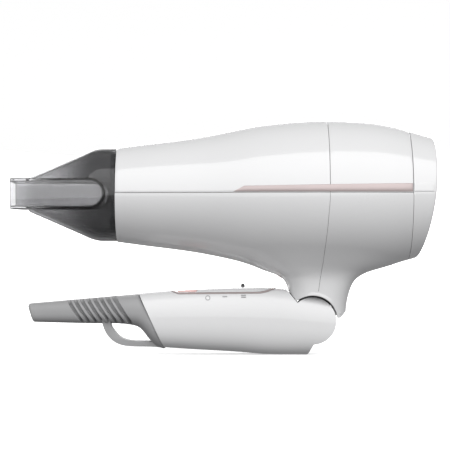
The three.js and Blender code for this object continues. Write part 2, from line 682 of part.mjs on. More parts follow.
function impeller() {
  const front = cupRear + ductWall + 1.6;
  const hubRadius = motorRadius - 0.7;
  let fan = turned([[front, 0], [front, hubRadius], [front + 9, hubRadius], [front + 14, 8], [front + 15.5, 0]],
    axisZ, 20);
  const tip = ductRadius - ductWall - 1.4;
  const sweep = turned([[front - 1, 0], [front - 1, tip], [front + 14, tip], [front + 14, 0]]);
  for (let blade = 0; blade < 7; blade += 1) {
    const vane = box(-7, 7, -0.8, 0.8, hubRadius - 2, tip + 2).rotate([0, 0, 38]);
    fan = fan.add(vane.rotate([blade * 360 / 7, 0, 0]).translate([front + 6, 0, axisZ]).intersect(sweep));
  }
  return fan.subtract(rodX(front - 1, shaftRear + gap, 1.8, 0, axisZ, 16));
}

// ---------------------------------------------------------------- ioniser
const ioniserFront = hingeX - 50;
const ioniserHalf = 8;
const roomBelow = Math.sqrt((barrelRadius(ioniserFront) - barrelWall - 1.2) ** 2 - ioniserHalf ** 2);
const ioniserModule = box(ioniserFront, ioniserFront + 24, -ioniserHalf, ioniserHalf, axisZ - roomBelow,
  axisZ - tubeRadius - 1.4);
const needleZ = axisZ - (tubeRadius + mouthRadius - barrelWall) / 2 - 0.9;
const needleProfile = [[mouthX + 16, 0], [mouthX + 22, 0.7], [mouthX + 22, 1.1], [mouthX + 30, 1.1], [mouthX + 30, 0]];
const ioniserNeedle = turned(needleProfile, needleZ, 10);

// ---------------------------------------------------------------- the object
const dryer = new THREE.Group();

function addPart(name, body, color, roughness, metalness = 0) {
  const mesh = body.getMesh();
  const geometry = new THREE.BufferGeometry();
  geometry.setAttribute('position', new THREE.BufferAttribute(mesh.vertProperties, 3));
  geometry.setIndex(new THREE.BufferAttribute(mesh.triVerts, 1));
  geometry.computeVertexNormals();
  const part = new THREE.Mesh(geometry, new THREE.MeshStandardMaterial({ color, roughness, metalness }));
  part.name = name;
  dryer.add(part);
}

const [white, satin, rose, rubber, mica, steel] = [0xf6f6f6, 0xdcdcdc, 0xbfaeae, 0xa3a3a3, 0xc8b890, 0xb9bcc0];
const dark = 0x4a4a4c;
const shells = handleShells();

addPart('front_upper_shell', frontUpperShell, white, 0.18);
addPart('rear_upper_shell', rearUpperShell, white, 0.18);
addPart('front_lower_shell', frontLowerShell, satin, 0.35);
addPart('rear_lower_shell', rearLowerShell, satin, 0.35);
addPart('trim_strip_left', strips.intersect(leftSide(0)), rose, 0.3, 0.8);
addPart('trim_strip_right', strips.intersect(rightSide(0)), rose, 0.3, 0.8);
addPart('ion_light', ionLight, 0xe6c4bf, 0.3);
addPart('outlet_grille', outletGrille(), dark, 0.5);
addPart('mica_tube', micaTube, mica, 0.6);
addPart('mica_board_upright', micaBoard(true), mica, 0.6);
addPart('mica_board_level', micaBoard(false), mica, 0.6);
addPart('heater_coil_front', coilFront, 0x8c8880, 0.4, 1);
addPart('heater_coil_rear', coilRear, 0x8c8880, 0.4, 1);
addPart('thermostat', thermostat, dark, 0.5);
addPart('thermal_fuse', thermalFuse, steel, 0.35, 1);
addPart('fan_duct', fanDuct(), 0x8e8e90, 0.5);
addPart('motor', motorCan(), steel, 0.35, 1);
addPart('motor_screw_left', motorScrew(-1), steel, 0.3, 1);
addPart('motor_screw_right', motorScrew(1), steel, 0.3, 1);
addPart('motor_shaft', motorShaft, steel, 0.2, 1);
addPart('impeller', impeller(), dark, 0.45);
addPart('ioniser_module', ioniserModule, dark, 0.5);
addPart('ioniser_needle', ioniserNeedle, steel, 0.3, 1);
addPart('rear_cover', rearCover(), white, 0.2);
addPart('rear_filter', rearFilter(), dark, 0.6);
addPart('hinge_knuckle', hingeKnuckle(), dark, 0.5);
addPart('hinge_pin', hingePin, steel, 0.3, 1);
addPart('hinge_washer_left', hingeWasher(-1), 0xe8e4d8, 0.5);
addPart('hinge_washer_right', hingeWasher(1), 0xe8e4d8, 0.5);
addPart('handle_left_shell', shells.intersect(leftSide(-gap / 2)), satin, 0.3);
addPart('handle_right_shell', shells.intersect(rightSide(gap / 2)), satin, 0.3);
addPart('switch_panel', switchPanel(), white, 0.2);
addPart('panel_trim', panelTrim(), rose, 0.3, 0.8);
addPart('slider_knob', sliderKnob(), dark, 0.45);
addPart('cool_shot_button', coolShotButton(), 0xe0bdb8, 0.3);
addPart('button_spring', buttonSpring, steel, 0.3, 1);
addPart('switch_body', switchBody, dark, 0.5);
addPart('switch_board', switchBoard, 0x3f6b4a, 0.5);
addPart('cord_clamp', cordClamp(), dark, 0.5);
addPart('strain_relief', strainRelief(), rubber, 0.7);
addPart('handle_screw_front', handleScrew(...screwPlaces[0]), steel, 0.3, 1);
addPart('handle_screw_rear', handleScrew(...screwPlaces[1]), steel, 0.3, 1);
addPart('concentrator_nozzle', concentratorNozzle(), 0x6f6f72, 0.1);

export default dryer;
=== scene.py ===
"""Looks of a folding hair dryer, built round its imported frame. Metres, +Z up, +X towards the air inlet."""

import json
import math

import bmesh
import bpy
import numpy as np
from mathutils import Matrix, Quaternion, Vector


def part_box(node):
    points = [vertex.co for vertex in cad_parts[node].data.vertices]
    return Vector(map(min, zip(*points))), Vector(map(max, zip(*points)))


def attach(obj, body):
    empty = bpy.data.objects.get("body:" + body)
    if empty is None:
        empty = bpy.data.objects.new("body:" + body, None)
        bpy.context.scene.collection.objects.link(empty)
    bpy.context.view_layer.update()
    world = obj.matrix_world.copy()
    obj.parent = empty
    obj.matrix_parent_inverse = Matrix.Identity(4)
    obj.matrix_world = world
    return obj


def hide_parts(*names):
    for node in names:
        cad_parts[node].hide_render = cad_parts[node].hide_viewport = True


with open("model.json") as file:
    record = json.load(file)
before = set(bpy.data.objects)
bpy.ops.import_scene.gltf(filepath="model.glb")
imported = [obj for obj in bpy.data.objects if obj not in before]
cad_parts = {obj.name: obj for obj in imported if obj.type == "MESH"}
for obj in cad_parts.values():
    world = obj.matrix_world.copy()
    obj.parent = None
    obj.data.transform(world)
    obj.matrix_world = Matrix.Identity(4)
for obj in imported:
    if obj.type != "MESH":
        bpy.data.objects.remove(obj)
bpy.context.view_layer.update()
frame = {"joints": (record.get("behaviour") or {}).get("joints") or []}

MM = 0.001
GAP = 0.3 * MM          # between neighbouring pieces
SEAM = 0.18 * MM        # what shows of it between two shells


def joint(name):
    return next(j for j in frame["joints"] if j["name"] == name)


# ---------- places read from the frame
HINGE = Vector(joint("handle_fold")["pos_m"])
AXIS_Z = joint("nozzle_turn")["pos_m"][2]
MOUTH_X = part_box("front_upper_shell")[0].x
COVER_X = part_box("rear_upper_shell")[1].x
SEAM_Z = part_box("front_upper_shell")[0].z - GAP / 2
REAR_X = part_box("rear_cover")[1].x
OUTLET_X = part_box("concentrator_nozzle")[0].x
HANDLE_TOP = 2 * HINGE.z
WALL = 2.2 * MM
NOZZLE_WALL = 1.8 * MM
COLLAR = 28.1 * MM
FIN_HALF = 9.1 * MM
FIN_WIDE = 28.8 * MM
U_END = -69.2 * MM

# ---------- camera, floor and light
scene = bpy.context.scene
scene.view_settings.view_transform = "Standard"

CAMERA_DISTANCE = 1.05
FIELD_WIDTH = 270 * MM
FIELD_MIDDLE = Vector((0.8 * MM, 0, 77 * MM))


def make_camera():
    data = bpy.data.cameras.new("camera")
    data.sensor_width = 36
    data.lens = data.sensor_width * CAMERA_DISTANCE / FIELD_WIDTH
    camera = bpy.data.objects.new("camera", data)
    camera.location = FIELD_MIDDLE - Vector((0, CAMERA_DISTANCE, 0))
    camera.rotation_euler = (math.pi / 2, 0, 0)
    scene.collection.objects.link(camera)
    scene.camera = camera


def area_light(name, place, target, size, power, roll=0.0):
    data = bpy.data.lights.new(name, "AREA")
    data.shape = "RECTANGLE"
    data.size, data.size_y = size
    data.energy = power
    light = bpy.data.objects.new(name, data)
    light.visible_camera = False
    light.location = place
    aim = (Vector(target) - Vector(place)).to_track_quat("-Z", "Y")
    light.rotation_euler = (aim @ Quaternion((0, 0, 1), math.radians(roll))).to_euler()
    scene.collection.objects.link(light)


def make_lights():
    area_light("front_softbox", (0.3, -1.9, 1.22), (0.1, 0, -0.1), (4.6, 3.0), 84, 6)
    area_light("back_softbox", (0, 2.4, 0.86), (0, 0, 0.1), (4.4, 1.55), 78)
    world = bpy.data.worlds.new("studio")
    world.use_nodes = True
    nodes, links = world.node_tree.nodes, world.node_tree.links
    place = nodes.new("ShaderNodeTexCoord")
    split = nodes.new("ShaderNodeSeparateXYZ")
    ramp = nodes.new("ShaderNodeValToRGB")
    height = nodes.new("ShaderNodeMapRange")
    height.inputs["From Min"].default_value = -1
    links.new(place.outputs["Generated"], split.inputs["Vector"])
    links.new(split.outputs["Z"], height.inputs["Value"])
    links.new(height.outputs["Result"], ramp.inputs["Fac"])
    ramp.color_ramp.elements[0].color = (0.16, 0.16, 0.165, 1)
    ramp.color_ramp.elements[1].color = (0.42, 0.42, 0.42, 1)
    middle = ramp.color_ramp.elements.new(0.5)
    middle.color = (0.36, 0.36, 0.36, 1)
    links.new(ramp.outputs["Color"], nodes["Background"].inputs["Color"])
    scene.world = world


# ---------- mesh tools
def spline(xs, ys):
    """A smooth curve through the points (natural cubic), straight beyond its ends."""
    xs, ys = np.array(xs, float), np.array(ys, float)
    count, step = len(xs), np.diff(xs)
    rows, right = np.eye(count), np.zeros(count)
    for i in range(1, count - 1):
        rows[i, i - 1:i + 2] = step[i - 1], 2 * (step[i - 1] + step[i]), step[i]
        right[i] = 6 * ((ys[i + 1] - ys[i]) / step[i] - (ys[i] - ys[i - 1]) / step[i - 1])
    bend = np.linalg.solve(rows, right)

    def inside(x):
        i = np.clip(np.searchsorted(xs, x) - 1, 0, count - 2)
        before, after = x - xs[i], xs[i + 1] - x
        cubic = (bend[i] * after ** 3 + bend[i + 1] * before ** 3) / (6 * step[i])
        low = (ys[i] / step[i] - bend[i] * step[i] / 6) * after
        return cubic + low + (ys[i + 1] / step[i] - bend[i + 1] * step[i] / 6) * before

    tiny = (xs[-1] - xs[0]) * 1e-4
    slopes = (inside(xs[0] + tiny) - ys[0]) / tiny, (ys[-1] - inside(xs[-1] - tiny)) / tiny

    def at(x):
        x = np.asarray(x, float)
        near = np.clip(x, xs[0], xs[-1])
        return inside(near) + np.where(x < xs[0], slopes[0], slopes[1]) * (x - near)

    return at


def mesh_object(name, points, faces, smooth=True):
    mesh = bpy.data.meshes.new(name)
    mesh.from_pydata([tuple(p) for p in points], [], [tuple(int(i) for i in f) for f in faces])
    piece = bpy.data.objects.new(name, mesh)
    scene.collection.objects.link(piece)
    tidy_mesh(piece, smooth)
    return piece


def tidy_mesh(piece, smooth=True):
    """Merges touching points, turns all faces outward and sets their shading."""
    bm = bmesh.new()
    bm.from_mesh(piece.data)
    bmesh.ops.remove_doubles(bm, verts=bm.verts, dist=0.004 * MM)
    bmesh.ops.recalc_face_normals(bm, faces=bm.faces)
    for face in bm.faces:
        face.smooth = smooth
    bm.to_mesh(piece.data)
    bm.free()


def grid_faces(rows, columns, wrap, start=0):
    across = columns if wrap else columns - 1
    faces = []
    for i in range(rows - 1):
        for j in range(across):
            a, b = start + i * columns + j, start + i * columns + (j + 1) % columns
            faces.append((a, b, b + columns, a + columns))
    return faces


def edged(low, high, count, rounding):
    """Stations from low to high with extra ones for a rounded edge, and how deep each lies there."""
    inner = np.linspace(low + rounding, high - rounding, count)
    ends = rounding * np.array([0, 0.12, 0.4])
    stations = np.concatenate([low + ends, inner, (high - ends)[::-1]])
    away = np.clip(np.minimum(stations - low, high - stations), 0, rounding)
    depth = 1 - np.sqrt(np.clip(1 - (1 - away / rounding) ** 2, 0, 1))
    return stations, depth


def plate(name, surface, us, vs, thickness, rounding, inside=None):
    """A sheet of even thickness under surface(u, v), with rounded edges. us and vs come from edged()."""
    (u, deep_u), (v, deep_v) = us, vs
    grid_u, grid_v = np.meshgrid(u, v, indexing="ij")
    tiny = 1e-6
    points = surface(grid_u, grid_v)
    along = surface(grid_u + tiny, grid_v) - surface(grid_u - tiny, grid_v)
    across = surface(grid_u, grid_v + tiny) - surface(grid_u, grid_v - tiny)
    normal = np.cross(along, across)
    normal /= np.linalg.norm(normal, axis=-1, keepdims=True)
    inside = AXIS if inside is None else inside
    if (normal * (points - inside)).sum() < 0:
        normal = -normal
    depth = np.maximum.outer(deep_u, deep_v)[..., None] * rounding
    top = points - normal * depth
    bottom = points - normal * (thickness - depth)
    rows, columns = grid_u.shape
    size = rows * columns
    faces = grid_faces(rows, columns, False) + grid_faces(rows, columns, False, size)
    border = [[(i, 0), (i + 1, 0)] for i in range(rows - 1)]
    border += [[(i, columns - 1), (i + 1, columns - 1)] for i in range(rows - 1)]
    for i in (0, rows - 1):
        border += [[(i, j), (i, j + 1)] for j in range(columns - 1)]
    for (i, j), (k, m) in border:
        a, b = i * columns + j, k * columns + m
        faces.append((a, b, b + size, a + size))
    return mesh_object(name, np.concatenate([top.reshape(-1, 3), bottom.reshape(-1, 3)]), faces)


def closed_loft(name, rings):
    """A closed skin through rings of equally many points."""
    rings = np.asarray(rings)
    rows, columns = rings.shape[:2]
    faces = grid_faces(rows, columns, True)
    faces += [tuple(range(columns)), tuple((rows - 1) * columns + k for k in range(columns))]
    return mesh_object(name, rings.reshape(-1, 3), faces)


def turned(name, profile, sides=96, height=None):
    """A closed (x, radius) profile turned about the barrel's axis, or another level line."""
    height = AXIS_Z if height is None else height
    angles = np.linspace(0, 2 * math.pi, sides, endpoint=False)
    profile = np.asarray(profile, float)
    points = [[(x, r * math.cos(a), height + r * math.sin(a)) for a in angles] for x, r in profile]
    on_axis = profile[0][1] == 0
    faces = grid_faces(len(profile), sides, True)
    if not on_axis:
        last = (len(profile) - 1) * sides
        faces += [(last + j, last + (j + 1) % sides, (j + 1) % sides, j) for j in range(sides)]
    return mesh_object(name, np.array(points).reshape(-1, 3), faces)


def prism(name, outline, y0, y1):
    """A side outline of (x, z) points, extruded across the object."""
    count = len(outline)
    points = [(x, y0, z) for x, z in outline] + [(x, y1, z) for x, z in outline]
    faces = [tuple(range(count)), tuple(range(count, 2 * count))]
    faces += [(i, (i + 1) % count, count + (i + 1) % count, count + i) for i in range(count)]
    return mesh_object(name, points, faces, smooth=False)


def cylinder_y(name, x, z, radius, y0, y1, sides=96):
    angles = np.linspace(0, 2 * math.pi, sides, endpoint=False)
    return prism(name, [(x + radius * math.cos(a), z + radius * math.sin(a)) for a in angles], y0, y1)


def apply_modifiers(piece):
    bpy.context.view_layer.update()
    graph = bpy.context.evaluated_depsgraph_get()
    mesh = bpy.data.meshes.new_from_object(piece.evaluated_get(graph))
    piece.modifiers.clear()
    old = piece.data
    piece.data = mesh
    bpy.data.meshes.remove(old)
    return piece


def combine(piece, tools, operation):
    """Boolean of piece with each tool; the tools are used up."""
    for tool in tools:
        modifier = piece.modifiers.new("cut", "BOOLEAN")
        modifier.operation = operation
        modifier.solver = "EXACT"
        modifier.object = tool
        apply_modifiers(piece)
        bpy.data.objects.remove(tool)
    return piece


def soften(piece, width, segments=2, angle=35):
    """Rounds the piece's sharp edges and evens its shading."""
    bevel = piece.modifiers.new("round", "BEVEL")
    bevel.width = width
    bevel.segments = segments
    bevel.limit_method = "ANGLE"
    bevel.angle_limit = math.radians(angle)
    bevel.harden_normals = False
    apply_modifiers(piece)
    for face in piece.data.polygons:
        face.use_smooth = True
    even = piece.modifiers.new("even", "WEIGHTED_NORMAL")
    even.keep_sharp = False
    apply_modifiers(piece)
    return piece


def finish_piece(piece, body, material, slot, *nodes):
    """Gives a piece its material and says which CAD body it rides and which nodes it stands for."""
    piece.data.materials.clear()
    piece.data.materials.append(material)
    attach(piece, body)
    if nodes:
        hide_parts(*nodes)
    return piece


def joined(name, pieces):
    """Several meshes as one piece."""
    bm = bmesh.new()
    for piece in pieces:
        bm.from_mesh(piece.data)
        bpy.data.objects.remove(piece)
    mesh = bpy.data.meshes.new(name)
    bm.to_mesh(mesh)
    bm.free()
    whole = bpy.data.objects.new(name, mesh)
    scene.collection.objects.link(whole)
    return whole


# ---------- materials
def plastic(name, color, roughness, grain=1400.0, bump=0.02, shade=0.03, coat=0.0, metallic=0.0):
    """Moulded plastic: a fine grain in the surface, and slow changes of tone and gloss."""
    material = bpy.data.materials.new(name)
    material.use_nodes = True
    nodes, links = material.node_tree.nodes, material.node_tree.links
    shader = nodes["Principled BSDF"]
    place = nodes.new("ShaderNodeTexCoord")

    def noise(scale, detail):
        node = nodes.new("ShaderNodeTexNoise")
        node.inputs["Scale"].default_value = scale
        node.inputs["Detail"].default_value = detail
        links.new(place.outputs["Object"], node.inputs["Vector"])
        return node.outputs["Fac"]

    def spread(factor, low, high):
        node = nodes.new("ShaderNodeMapRange")
        node.inputs["From Min"].default_value = 0.3
        node.inputs["From Max"].default_value = 0.7
        node.inputs["To Min"].default_value = low
        node.inputs["To Max"].default_value = high
        links.new(factor, node.inputs["Value"])
        return node.outputs["Result"]

    slow, fine = noise(26, 3), noise(grain, 2)
    tone = nodes.new("ShaderNodeMix")
    tone.data_type = "RGBA"
    tone.inputs["A"].default_value = (*color, 1)
    tone.inputs["B"].default_value = (*[c * (1 - shade) for c in color], 1)
    links.new(spread(slow, 0, 1), tone.inputs["Factor"])
    links.new(tone.outputs["Result"], shader.inputs["Base Color"])
    gloss = nodes.new("ShaderNodeMath")
    links.new(spread(slow, roughness * 0.88, roughness * 1.08), gloss.inputs[0])
    links.new(spread(fine, 0, roughness * 0.12), gloss.inputs[1])
    links.new(gloss.outputs["Value"], shader.inputs["Roughness"])
    relief = nodes.new("ShaderNodeBump")
    relief.inputs["Strength"].default_value = bump
    relief.inputs["Distance"].default_value = 0.2 * MM
    links.new(fine, relief.inputs["Height"])
    links.new(relief.outputs["Normal"], shader.inputs["Normal"])
    shader.inputs["Coat Weight"].default_value = coat
    shader.inputs["Coat Roughness"].default_value = 0.04
    shader.inputs["Metallic"].default_value = metallic
    return material


def smoke_plastic_with_painted_light_and_shade():
    """Clear smoke-grey plastic with painted light and shade in its base colour. Painted shade makes it darker
    where it is seen on edge, darker along the cone near the collar and gives a dark band round the duct's
    end. Painted light makes it paler along the flat duct.
    """
    material = plastic("smoke_polycarbonate", (0.3, 0.3, 0.31), 0.06, 600, 0.004, 0.08)
    nodes, links = material.node_tree.nodes, material.node_tree.links
    shader = nodes["Principled BSDF"]
    shader.inputs["Transmission Weight"].default_value = 0.92
    shader.inputs["IOR"].default_value = 1.42
    place = nodes.new("ShaderNodeTexCoord")
    split = nodes.new("ShaderNodeSeparateXYZ")
    links.new(place.outputs["Object"], split.inputs["Vector"])

    def blend_color(factor, low, high):
        node = nodes.new("ShaderNodeMix")
        node.data_type = "RGBA"
        for name, value in (("A", low), ("B", high)):
            if isinstance(value, float):
                node.inputs[name].default_value = (value, value, value * 1.02, 1)
            else:
                links.new(value, node.inputs[name])
        links.new(factor, node.inputs["Factor"])
        return node.outputs["Result"]

    def ramp(value, start, end):
        node = nodes.new("ShaderNodeMapRange")
        node.interpolation_type = "SMOOTHSTEP"
        node.inputs["From Min"].default_value = start
        node.inputs["From Max"].default_value = end
        links.new(value, node.inputs["Value"])
        return node.outputs["Result"]

    def calculate(operation, first, second):
        node = nodes.new("ShaderNodeMath")
        node.operation = operation
        for number, value in enumerate((first, second)):
            if isinstance(value, float):
                node.inputs[number].default_value = value
            else:
                links.new(value, node.inputs[number])
        return node.outputs["Value"]

    # Distance from the duct's middle line, which ends in a half circle. Outwards from it come the
    # inside of the duct, its wall and the cone.
    along = split.outputs["X"]
    up = calculate("SUBTRACT", split.outputs["Z"], AXIS_Z)
    past = calculate("MAXIMUM", calculate("SUBTRACT", along, U_END - FIN_HALF), 0.0)
    squares = calculate("ADD", calculate("MULTIPLY", up, up), calculate("MULTIPLY", past, past))
    reach = calculate("SQRT", squares, 0.0)
    # Painted shade: the cone's base colour darkens from 0.36 to 0.13 towards the collar. Painted light: the
    # duct's inside is paler, 0.44 to 0.36.
    cone = blend_color(ramp(along, -108 * MM, -76 * MM), 0.36, 0.13)
    duct = blend_color(ramp(along, -117.5 * MM, -114 * MM), 0.44, 0.36)
    # Painted shade: the duct's wall is a dark band, down to 0.012, round the U end.
    wall = blend_color(ramp(along, -118 * MM, -98 * MM), 0.4, 0.012)
    duct = blend_color(ramp(reach, 7.2 * MM, 7.8 * MM), duct, wall)
    body = blend_color(ramp(reach, 9.0 * MM, 9.3 * MM), duct, cone)
    # Painted shade: Layer Weight's Facing turns the base colour nearly black where the plastic is seen
    # edge-on, a painted dark outline. The result carries all the painted light and shade above.
    edge = nodes.new("ShaderNodeLayerWeight")
    edge.inputs["Blend"].default_value = 0.3
    tint_with_painted_light_and_shade = blend_color(ramp(edge.outputs["Facing"], 0.35, 0.7), body, 0.01)
    links.new(tint_with_painted_light_and_shade, shader.inputs["Base Color"])
    return material


WHITE = plastic("white_gloss_plastic", (0.70, 0.70, 0.705), 0.2, 900, 0.006, 0.012, coat=0.9)
SATIN = plastic("satin_white_plastic", (0.68, 0.68, 0.685), 0.3, 1500, 0.015, 0.02, coat=0.6)
ROSE = plastic("rose_metallic_trim", (0.47, 0.395, 0.39), 0.34, 2600, 0.03, 0.08, coat=0.3, metallic=0.3)
PINK = plastic("rose_button_plastic", (0.74, 0.50, 0.48), 0.3, 1500, 0.02, 0.04, coat=0.2)
SMOKE_PAINTED_LIGHT_AND_SHADE = smoke_plastic_with_painted_light_and_shade()
RUBBER = plastic("grey_soft_rubber", (0.36, 0.36, 0.365), 0.62, 1900, 0.09, 0.09)
DARK = plastic("dark_moulded_plastic", (0.045, 0.045, 0.048), 0.45, 1300, 0.06, 0.2)
GREY = plastic("grey_moulded_plastic", (0.26, 0.26, 0.265), 0.5, 1300, 0.05, 0.1)
MICA = plastic("mica_sheet_flakes", (0.56, 0.46, 0.28), 0.45, 420, 0.12, 0.3)
WIRE = plastic("heater_wire_oxide", (0.27, 0.24, 0.21), 0.42, 3000, 0.08, 0.3, metallic=0.9)
STEEL = plastic("brushed_steel", (0.56, 0.56, 0.57), 0.3, 2800, 0.05, 0.12, metallic=1.0)
LENS = plastic("rose_light_lens", (0.86, 0.58, 0.54), 0.2, 900, 0.02, 0.05, coat=0.6)
NYLON = plastic("natural_nylon", (0.78, 0.74, 0.64), 0.48, 1500, 0.04, 0.08)
BOARD = plastic("green_circuit_board", (0.05, 0.17, 0.08), 0.42, 700, 0.05, 0.3)
INK = plastic("grey_switch_marks", (0.36, 0.36, 0.365), 0.4, 2200, 0.03, 0.1)

# ---------- the barrel
BARREL = spline([v * MM for v in (-63.6, -44.2, -27.4, -13, 1.4, 15.8, 30.2, 44.6,
                                  63.8, 78.2, 92.6, 109.8, 128.5)],
                [v * MM for v in (28.6, 31.2, 33.3, 35.5, 38.4, 41.4, 43.4, 44.7,
                                  45.3, 44.7, 43.4, 39.5, 34)])
AXIS = np.array((0, 0, AXIS_Z))


def seam_x(z):
    """Where the seam between the front and rear shells runs, at a height."""
    heights = [v * MM for v in (21, 34, 55, 72.8, 92)]
    return np.interp(z, heights, [v * MM for v in (54.6, 55.4, 58.3, 59.9, 61.3)])


def barrel_side(x, z, outset=0.0, side=-1):
    """A point of the barrel's skin at a length and height."""
    radius = BARREL(x) + outset
    return np.stack([x, side * np.sqrt(np.clip(radius ** 2 - (z - AXIS_Z) ** 2, 0, None)), z], axis=-1)


def upper_shell(name, x0, x1):
    arc = 125 * MM

    def surface(x, v):
        radius = BARREL(x)
        start = np.arcsin((SEAM_Z + SEAM / 2 - AXIS_Z) / radius)
        angle = start + (math.pi - 2 * start) * v / arc
        return np.stack([x, radius * np.cos(angle), AXIS_Z + radius * np.sin(angle)], axis=-1)

    steps = max(12, round((x1 - x0) / (2 * MM)))
    piece = plate(name, surface, edged(x0, x1, steps, 0.3 * MM), edged(0, arc, 72, 0.3 * MM), WALL, 0.3 * MM)
    return finish_piece(piece, "housing", WHITE, "white_gloss", name)


# ---------- the neck and the lower shells
NECK_POWER = 2.6         # of its rounded outline
NECK_Z = [v * MM for v in (6, 12, 18.2, 26, 32.3, 38.5, 43.7, 47.2, 50.3, 53.4, 56.5, 64.1)]
NECK_FRONT = spline(NECK_Z, [v * MM for v in (38.7, 38.7, 38.7, 38.7, 38.7, 38.5, 36.5,
                                              33, 27, 22.5, 19, 14)])
NECK_REAR = spline(NECK_Z, [v * MM for v in (72.8, 72.8, 72.9, 73.1, 73.9, 75.6, 78.2,
                                             81.2, 85.0, 90, 94, 98)])
NECK_HALF = spline(NECK_Z, [v * MM for v in (17.7, 17.7, 17.7, 17.7, 17.75, 17.9, 18.2,
                                             18.8, 19.8, 21.0, 22.2, 24.0)])


def neck_value(p):
    x, y, z = p[..., 0], p[..., 1], p[..., 2]
    z = np.minimum(z, NECK_Z[-1])
    front, rear, half = NECK_FRONT(z), NECK_REAR(z), NECK_HALF(z)
    middle, reach = (front + rear) / 2, (rear - front) / 2
    shares = np.abs((x - middle) / reach) ** NECK_POWER + np.abs(y / half) ** NECK_POWER
    return (np.maximum(shares, 1e-9) ** (1 / NECK_POWER) - 1) * half


def barrel_value(p):
    return np.hypot(p[..., 1], p[..., 2] - AXIS_Z) - BARREL(p[..., 0])


def slope(value, p):
    tiny = 0.02 * MM
    return np.stack([(value(p + step) - value(p - step)) / (2 * tiny) for step in np.eye(3) * tiny], axis=-1)


def body_value(p):
    """Below zero inside the barrel with its neck, the two blended where they meet."""
    blend = 9 * MM
    neck = neck_value(p) / np.maximum(np.linalg.norm(slope(neck_value, p), axis=-1), 0.3)
    barrel = barrel_value(p)
    near = np.maximum(blend - np.abs(neck - barrel), 0) / blend
    return np.minimum(neck, barrel) - near ** 2 * blend / 4


def body_side(x, z, side, outset=0.0):
    """A point on the side of the neck or barrel, straight across from (x, z)."""
    low, high = np.zeros_like(x), np.full_like(x, 60 * MM)
    for _ in range(26):
        middle = (low + high) / 2
        inside = body_value(np.stack([x, middle, z], axis=-1)) < 0
        low, high = np.where(inside, middle, low), np.where(inside, high, middle)
    return np.stack([x, side * (low + outset), z], axis=-1)


def blended_body():
    """The barrel and the neck as one even skin."""
    angles = np.linspace(0, 2 * math.pi, 96, endpoint=False)
    xs = np.linspace(MOUTH_X - 3 * MM, COVER_X + 3 * MM, 90)
    barrel = closed_loft("barrel", [[(x, BARREL(x) * math.cos(a), AXIS_Z + BARREL(x) * math.sin(a))
                                     for a in angles] for x in xs])
    rings = []
    for z in np.linspace(10 * MM, 62 * MM, 60):
        front, rear, half = NECK_FRONT(z), NECK_REAR(z), NECK_HALF(z)
        c, s = np.cos(angles), np.sin(angles)
        soft_c = np.sign(c) * np.abs(c) ** (2 / NECK_POWER)
        soft_s = np.sign(s) * np.abs(s) ** (2 / NECK_POWER)
        rings.append(np.stack([(front + rear) / 2 + (rear - front) / 2 * soft_c, half * soft_s,
                               np.full_like(c, z)], axis=-1))
    body = joined("lower_body", [barrel, closed_loft("neck", rings)])
    remesh = body.modifiers.new("even", "REMESH")
    remesh.mode = "VOXEL"
    remesh.voxel_size = 1.3 * MM
    apply_modifiers(body)
    count = len(body.data.vertices)
    points = np.empty(count * 3)
    body.data.vertices.foreach_get("co", points)
    points = points.reshape(-1, 3)
    ends = (points[:, 0] < MOUTH_X - 1.5 * MM) | (points[:, 0] > COVER_X + 1.5 * MM)
    ends |= points[:, 2] < 13 * MM
    for _ in range(5):
        value, way = body_value(points), slope(body_value, points)
        step = value[:, None] * way / np.maximum((way ** 2).sum(-1, keepdims=True), 0.1)
        points = np.where(ends[:, None], points, points - np.clip(step, -MM, MM))
    body.data.vertices.foreach_set("co", points.reshape(-1))
    return body


def cut(bm, place, normal, warp=None, unwarp=None, only=None):
    """Cuts an open skin along a plane, or along a curve that warp() makes plane, and drops the side
    the normal points to."""
    chosen = [f for f in bm.faces if only is None or all(only(v.co) for v in f.verts)]
    # A dict keeps its order, so the mesh comes out the same each run. A set would not.
    edges = [e for f in chosen for e in f.edges]
    corners = [v for f in chosen for v in f.verts]
    parts = list(dict.fromkeys(chosen + edges + corners))
    if warp:
        for vert in bm.verts:
            vert.co = warp(vert.co)
    bmesh.ops.bisect_plane(bm, geom=parts, dist=1e-7, plane_co=place, plane_no=normal,
                           clear_outer=True)
    if unwarp:
        for vert in bm.verts:
            vert.co = unwarp(vert.co)


def around_hinge(p):
    return Vector((math.hypot(p.x - HINGE.x, p.z - HINGE.z), p.y, math.atan2(p.z - HINGE.z, p.x - HINGE.x)))


def from_hinge(p):
    return Vector((HINGE.x + p.x * math.cos(p.z), p.y, HINGE.z + p.x * math.sin(p.z)))


NECK_ROUND = 15.0 * MM
NECK_ANGLES = math.radians(6.8), math.radians(128.2)


def near_hinge(p):
    return p.z < 42 * MM


